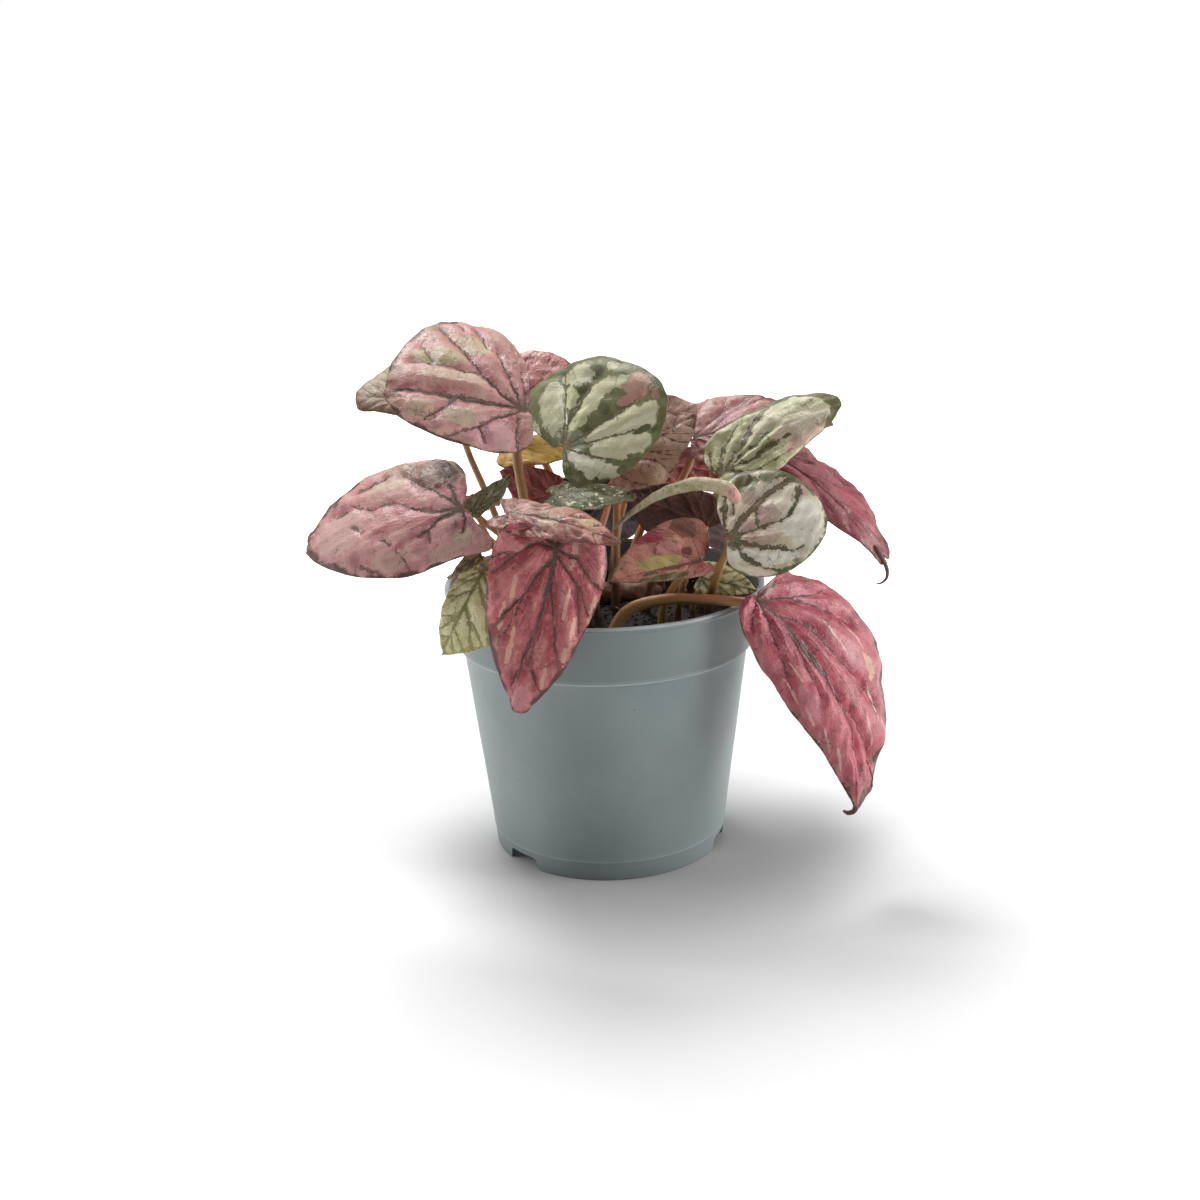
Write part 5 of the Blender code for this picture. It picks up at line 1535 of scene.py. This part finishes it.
# crumbs on the soil: size ranges in millimetres, sink: share of the size that shows over the soil
grainForms = {
    "soil_crumbs": {"material": "soil_crumb", "count": 1500, "sizes": (0.25, 0.9), "seed": 31,
                    "sink": 0.25,
                    "colours": ((24, 21, 18), (60, 50, 40)), "roughness": 0.9},
    "soil_grit": {"material": "soil_grit", "count": 260, "sizes": (0.18, 0.55), "seed": 32, "sink": 0.4,
                  "colours": ((176, 168, 150), (120, 104, 84)), "roughness": 0.8},
}
def soilMaterial():
    material, wires, shader = newMaterial("peat_soil")
    spot = wires.objectPlace()
    lumps = wires.noise(spot, 420.0, 6.0, 0.7)
    fibre = wires.noise(wires.stretch(spot, (1500.0, 240.0, 600.0)), 1.0, 3.0, 0.6, 2.0)
    paint = wires.mix(wires.step(lumps, 0.35, 0.7), colour(20, 18, 16), colour(46, 40, 34))
    paint = wires.mix(wires.step(fibre, 0.64, 0.7, 0.0, 0.5), paint, colour(112, 92, 68))
    wires.feed(shader.inputs["Base Color"], paint)
    wires.feed(shader.inputs["Roughness"], wires.step(lumps, 0.3, 0.7, 0.7, 0.95))
    wires.bump(shader, lumps, 0.9, 0.001)
    return material


def grainMaterial(form):
    material, wires, shader = mottledMaterial(form["material"], *form["colours"], form["roughness"],
                                              500.0)
    wires.bump(shader, wires.noise(wires.objectPlace(), 2200.0, 4.0, 0.6), 0.6, 0.0003)
    return material


def soilLift(points):
    # height of the soil over the frame's top, for flat places in millimetres
    edge = soilForm["edge"]
    radius = np.hypot(points[:, 0], points[:, 1])
    lift = soilForm["heap"] * (1 - (radius / edge) ** 2)
    for height, size, seed in soilForm["lumps"]:
        lift = lift + height * ripple(points, size, seed, 3)
    return lift * smoothStep(edge, edge - 4.0, radius) - soilForm["drop"]


def buildSoil():
    floor, top = (corner[2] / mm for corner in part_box("potting_soil"))
    edge, steps, drop = soilForm["edge"], soilForm["rings"], soilForm["drop"]
    profile = [(3, floor), (soilForm["foot"], floor), *soilForm["side"],
               (edge, top - soilForm["edgeDrop"])]
    profile += [(max(edge * (1 - step / steps), 0.4), top - drop) for step in range(1, steps + 1)]
    soil = turnUp("soil_ball", profile, soilForm["segments"])
    points = readPoints(soil.data) / mm
    upper = points[:, 2] > top - soilForm["edgeDrop"] / 2
    points[upper, 2] += soilLift(points[upper, :2])
    writePoints(soil.data, points)
    soil.data.materials.append(soilMaterial())
    soil.data.shade_smooth()
    place(soil, ["potting_soil"], "soil")
    return top


def scatterGrains(name, form, top):
    # one lumpy ball, copied into one mesh
    clearSelection()
    bpy.ops.mesh.primitive_ico_sphere_add(subdivisions=1, radius=1.0)
    ball = bpy.context.object
    shape = readPoints(ball.data)
    faces = np.array([list(face.vertices) for face in ball.data.polygons])
    bpy.data.objects.remove(ball)
    count = form["count"]
    random = np.random.default_rng(form["seed"])
    radius = np.sqrt(random.uniform(0, 1, count)) * (soilForm["edge"] - 1.5)
    turn = random.uniform(0, 2 * np.pi, count)
    spots = np.column_stack((radius * np.cos(turn), radius * np.sin(turn)))
    heights = top - soilForm["drop"] + soilLift(spots)
    points = []
    for spot, height, size in zip(spots, heights, random.uniform(*form["sizes"], count)):
        lumpy = shape * (1 + random.uniform(-0.25, 0.25, (len(shape), 1)))
        lumpy = lumpy * (1.0, random.uniform(0.6, 1.0), random.uniform(0.5, 0.9))
        axes, _ = np.linalg.qr(random.normal(size=(3, 3)))
        if np.linalg.det(axes) < 0:
            axes[:, 0] *= -1
        points.append((lumpy @ axes.T) * size + (*spot, height + size * form["sink"]))
    offsets = np.arange(count)[:, None, None] * len(shape)
    piece = addMesh(name, np.vstack(points), (faces[None] + offsets).reshape(-1, 3),
                    grainMaterial(form))
    piece.data.shade_smooth()
    place(piece, [], "soil")


soilTop = buildSoil()
for name, form in grainForms.items():
    scatterGrains(name, form, soilTop)
print("soil ready")


# route: places on the soil; the thickness swells and narrows from joint to joint
rhizomeForm = {
    "route": ((-23, 9), (-17, 6.5), (-12, 5), (-6, 5.2), (0, 5), (6, 4.6), (12, 4), (17, 6), (22, 8)),
    "radii": (2.4, 3.8, 4.2, 3.7, 4.2, 3.7, 4.2, 3.8, 2.4), "sides": 28, "rings": 70, "rough": 0.10,
    "ridges": 0.05,
}


def rhizomeMaterial():
    material, wires, shader = newMaterial("rhizome_skin")
    spot = wires.objectPlace()
    cloud = wires.noise(spot, 320.0, 5.0, 0.65)
    scale = wires.cells(spot, 420.0).outputs["Distance"]
    paint = wires.mix(wires.step(cloud, 0.35, 0.65), colour(104, 66, 50), colour(142, 100, 70))
    paint = wires.mix(wires.step(scale, 0.3, 0.8, 0.0, 0.5), paint, colour(70, 48, 36))
    wires.feed(shader.inputs["Base Color"], paint)
    wires.feed(shader.inputs["Roughness"], wires.step(cloud, 0.3, 0.7, 0.55, 0.8))
    wires.bump(shader, wires.math("ADD", cloud, scale), 0.7, 0.0005)
    return material
def buildRhizome():
    low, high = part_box("rhizome")
    middle = (low[2] + high[2]) / 2 / mm
    route = [(*spot, middle) for spot in rhizomeForm["route"]]
    path, radii = softPath(route, rhizomeForm["radii"], rhizomeForm["rings"], 0)
    share = np.linspace(0, 1, len(radii))
    # blunt ends and faint ridges round the stem
    radii *= np.sqrt(np.clip(1 - np.abs(2 * share - 1) ** 8, 0.0004, 1))
    radii *= 1 + rhizomeForm["ridges"] * np.sin(share * (len(route) - 1) * 9)
    piece = rollTube("creeping_stem", path, radii, rhizomeForm["sides"], 90, rhizomeForm["rough"])
    piece.data.materials.append(rhizomeMaterial())
    place(piece, ["rhizome"], "rhizome_skin")


buildRhizome()
print("rhizome ready")


# lamps: place, size and power, all aimed at one spot; the floor turns plain white from shadowStart to
# shadowEnd of the middle; nook: deeper shade on the floor beside the pot's foot
stageForm = {
    "floorSize": 12.0, "floorTone": 0.85, "nookTone": 0.1,
    "lamps": {"key_light": ((-0.30, 0.66, 1.2), 0.55, 15.0),
              "front_light": ((-0.1, -0.6, 1.5), 0.8, 3.2),
              "left_light": ((-1.0, 0.05, 0.4), 0.6, 3.6), "right_light": ((1.0, -0.12, 0.3), 0.6, 7.5)},
    "lampAim": (0, 0, 0.1), "frontStrength": 0.05, "aroundStrength": 0.42, "whiteAdd": 0.02,
    "shadowStart": 0.231, "shadowEnd": 0.42,
    "nookPlace": (0.016, -0.016, 0.0), "nookReach": (0.035, 0.10), "nookShade": 0.5,
}
def aimAt(item, place, target, roll=0.0):
    item.location = place
    direction = Vector(target) - Vector(place)
    turn = direction.to_track_quat("-Z", "Y").to_matrix().to_4x4()
    item.matrix_world = Matrix.Translation(place) @ turn @ Matrix.Rotation(math.radians(roll), 4, "Z")


def addLamp(name, place, size, power):
    data = bpy.data.lights.new(name, "AREA")
    data.shape = "DISK"
    data.size = size
    data.energy = power
    lamp = bpy.data.objects.new(name, data)
    bpy.context.collection.objects.link(lamp)
    aimAt(lamp, place, stageForm["lampAim"])


def floorMaterial():
    material, wires, shader = newMaterial("studio_floor", 0.9)
    shader.inputs["Specular IOR Level"].default_value = 0.1
    spot = wires.objectPlace()
    glow = wires.step(wires.vector("LENGTH", spot), stageForm["shadowStart"], stageForm["shadowEnd"],
                      stageForm["whiteAdd"], 1.0)
    shader.inputs["Emission Color"].default_value = (1.0, 1.0, 1.0, 1.0)
    rays = wires.node("LightPath").outputs
    seen = wires.math("MAXIMUM", rays["Is Camera Ray"], rays["Is Glossy Ray"])
    seen = wires.math("MAXIMUM", seen, rays["Is Transmission Ray"])
    wires.feed(shader.inputs["Emission Strength"], wires.math("MULTIPLY", seen, glow))
    near, wide = stageForm["nookReach"]
    nook = wires.step(wires.vector("DISTANCE", spot, stageForm["nookPlace"]), near, wide,
                      stageForm["nookShade"], 0.0)
    tones = [(stageForm[tone],) * 3 + (1.0,) for tone in ("floorTone", "nookTone")]
    wires.feed(shader.inputs["Base Color"], wires.mix(nook, *tones))
    return material


def buildStage():
    clearSelection()
    bpy.ops.mesh.primitive_plane_add(size=stageForm["floorSize"], location=(0, 0, 0))
    floor = bpy.context.object
    floor.name = "studio_floor"
    floor.data.materials.append(floorMaterial())
    for name, (spot, size, power) in stageForm["lamps"].items():
        addLamp(name, spot, size, power)
    world = bpy.data.worlds.new("studio")
    bpy.context.scene.world = world
    world.use_nodes = True
    wires = Wires(world.node_tree)
    background = world.node_tree.nodes["Background"]
    background.inputs["Color"].default_value = (1.0, 1.0, 1.0, 1.0)
    # the room is bright behind and beside the plant and dim in front of it
    depth = wires.split(wires.node("TexCoord").outputs["Generated"])[1]
    room = wires.step(depth, -0.85, -0.05, stageForm["frontStrength"], stageForm["aroundStrength"])
    rays = wires.node("LightPath").outputs
    seen = wires.math("MAXIMUM", rays["Is Camera Ray"], rays["Is Transmission Ray"])
    wires.feed(background.inputs["Strength"], wires.math("MAXIMUM", room, seen))


cameraForm = {"place": (0.0, -0.5765, 0.2730), "aim": (-0.0018, 0.0, 0.0946), "roll": -1.40,
              "lens": 48.0,
              "sensor": 36.0}


def buildCamera():
    data = bpy.data.cameras.new("camera")
    data.lens = cameraForm["lens"]
    data.sensor_width = cameraForm["sensor"]
    data.clip_start = 0.01
    camera = bpy.data.objects.new("camera", data)
    bpy.context.collection.objects.link(camera)
    aimAt(camera, cameraForm["place"], cameraForm["aim"], cameraForm["roll"])
    bpy.context.scene.camera = camera


buildStage()
buildCamera()
bpy.context.scene.view_settings.view_transform = "Standard"
print("stage ready")

bpy.context.view_layer.update()
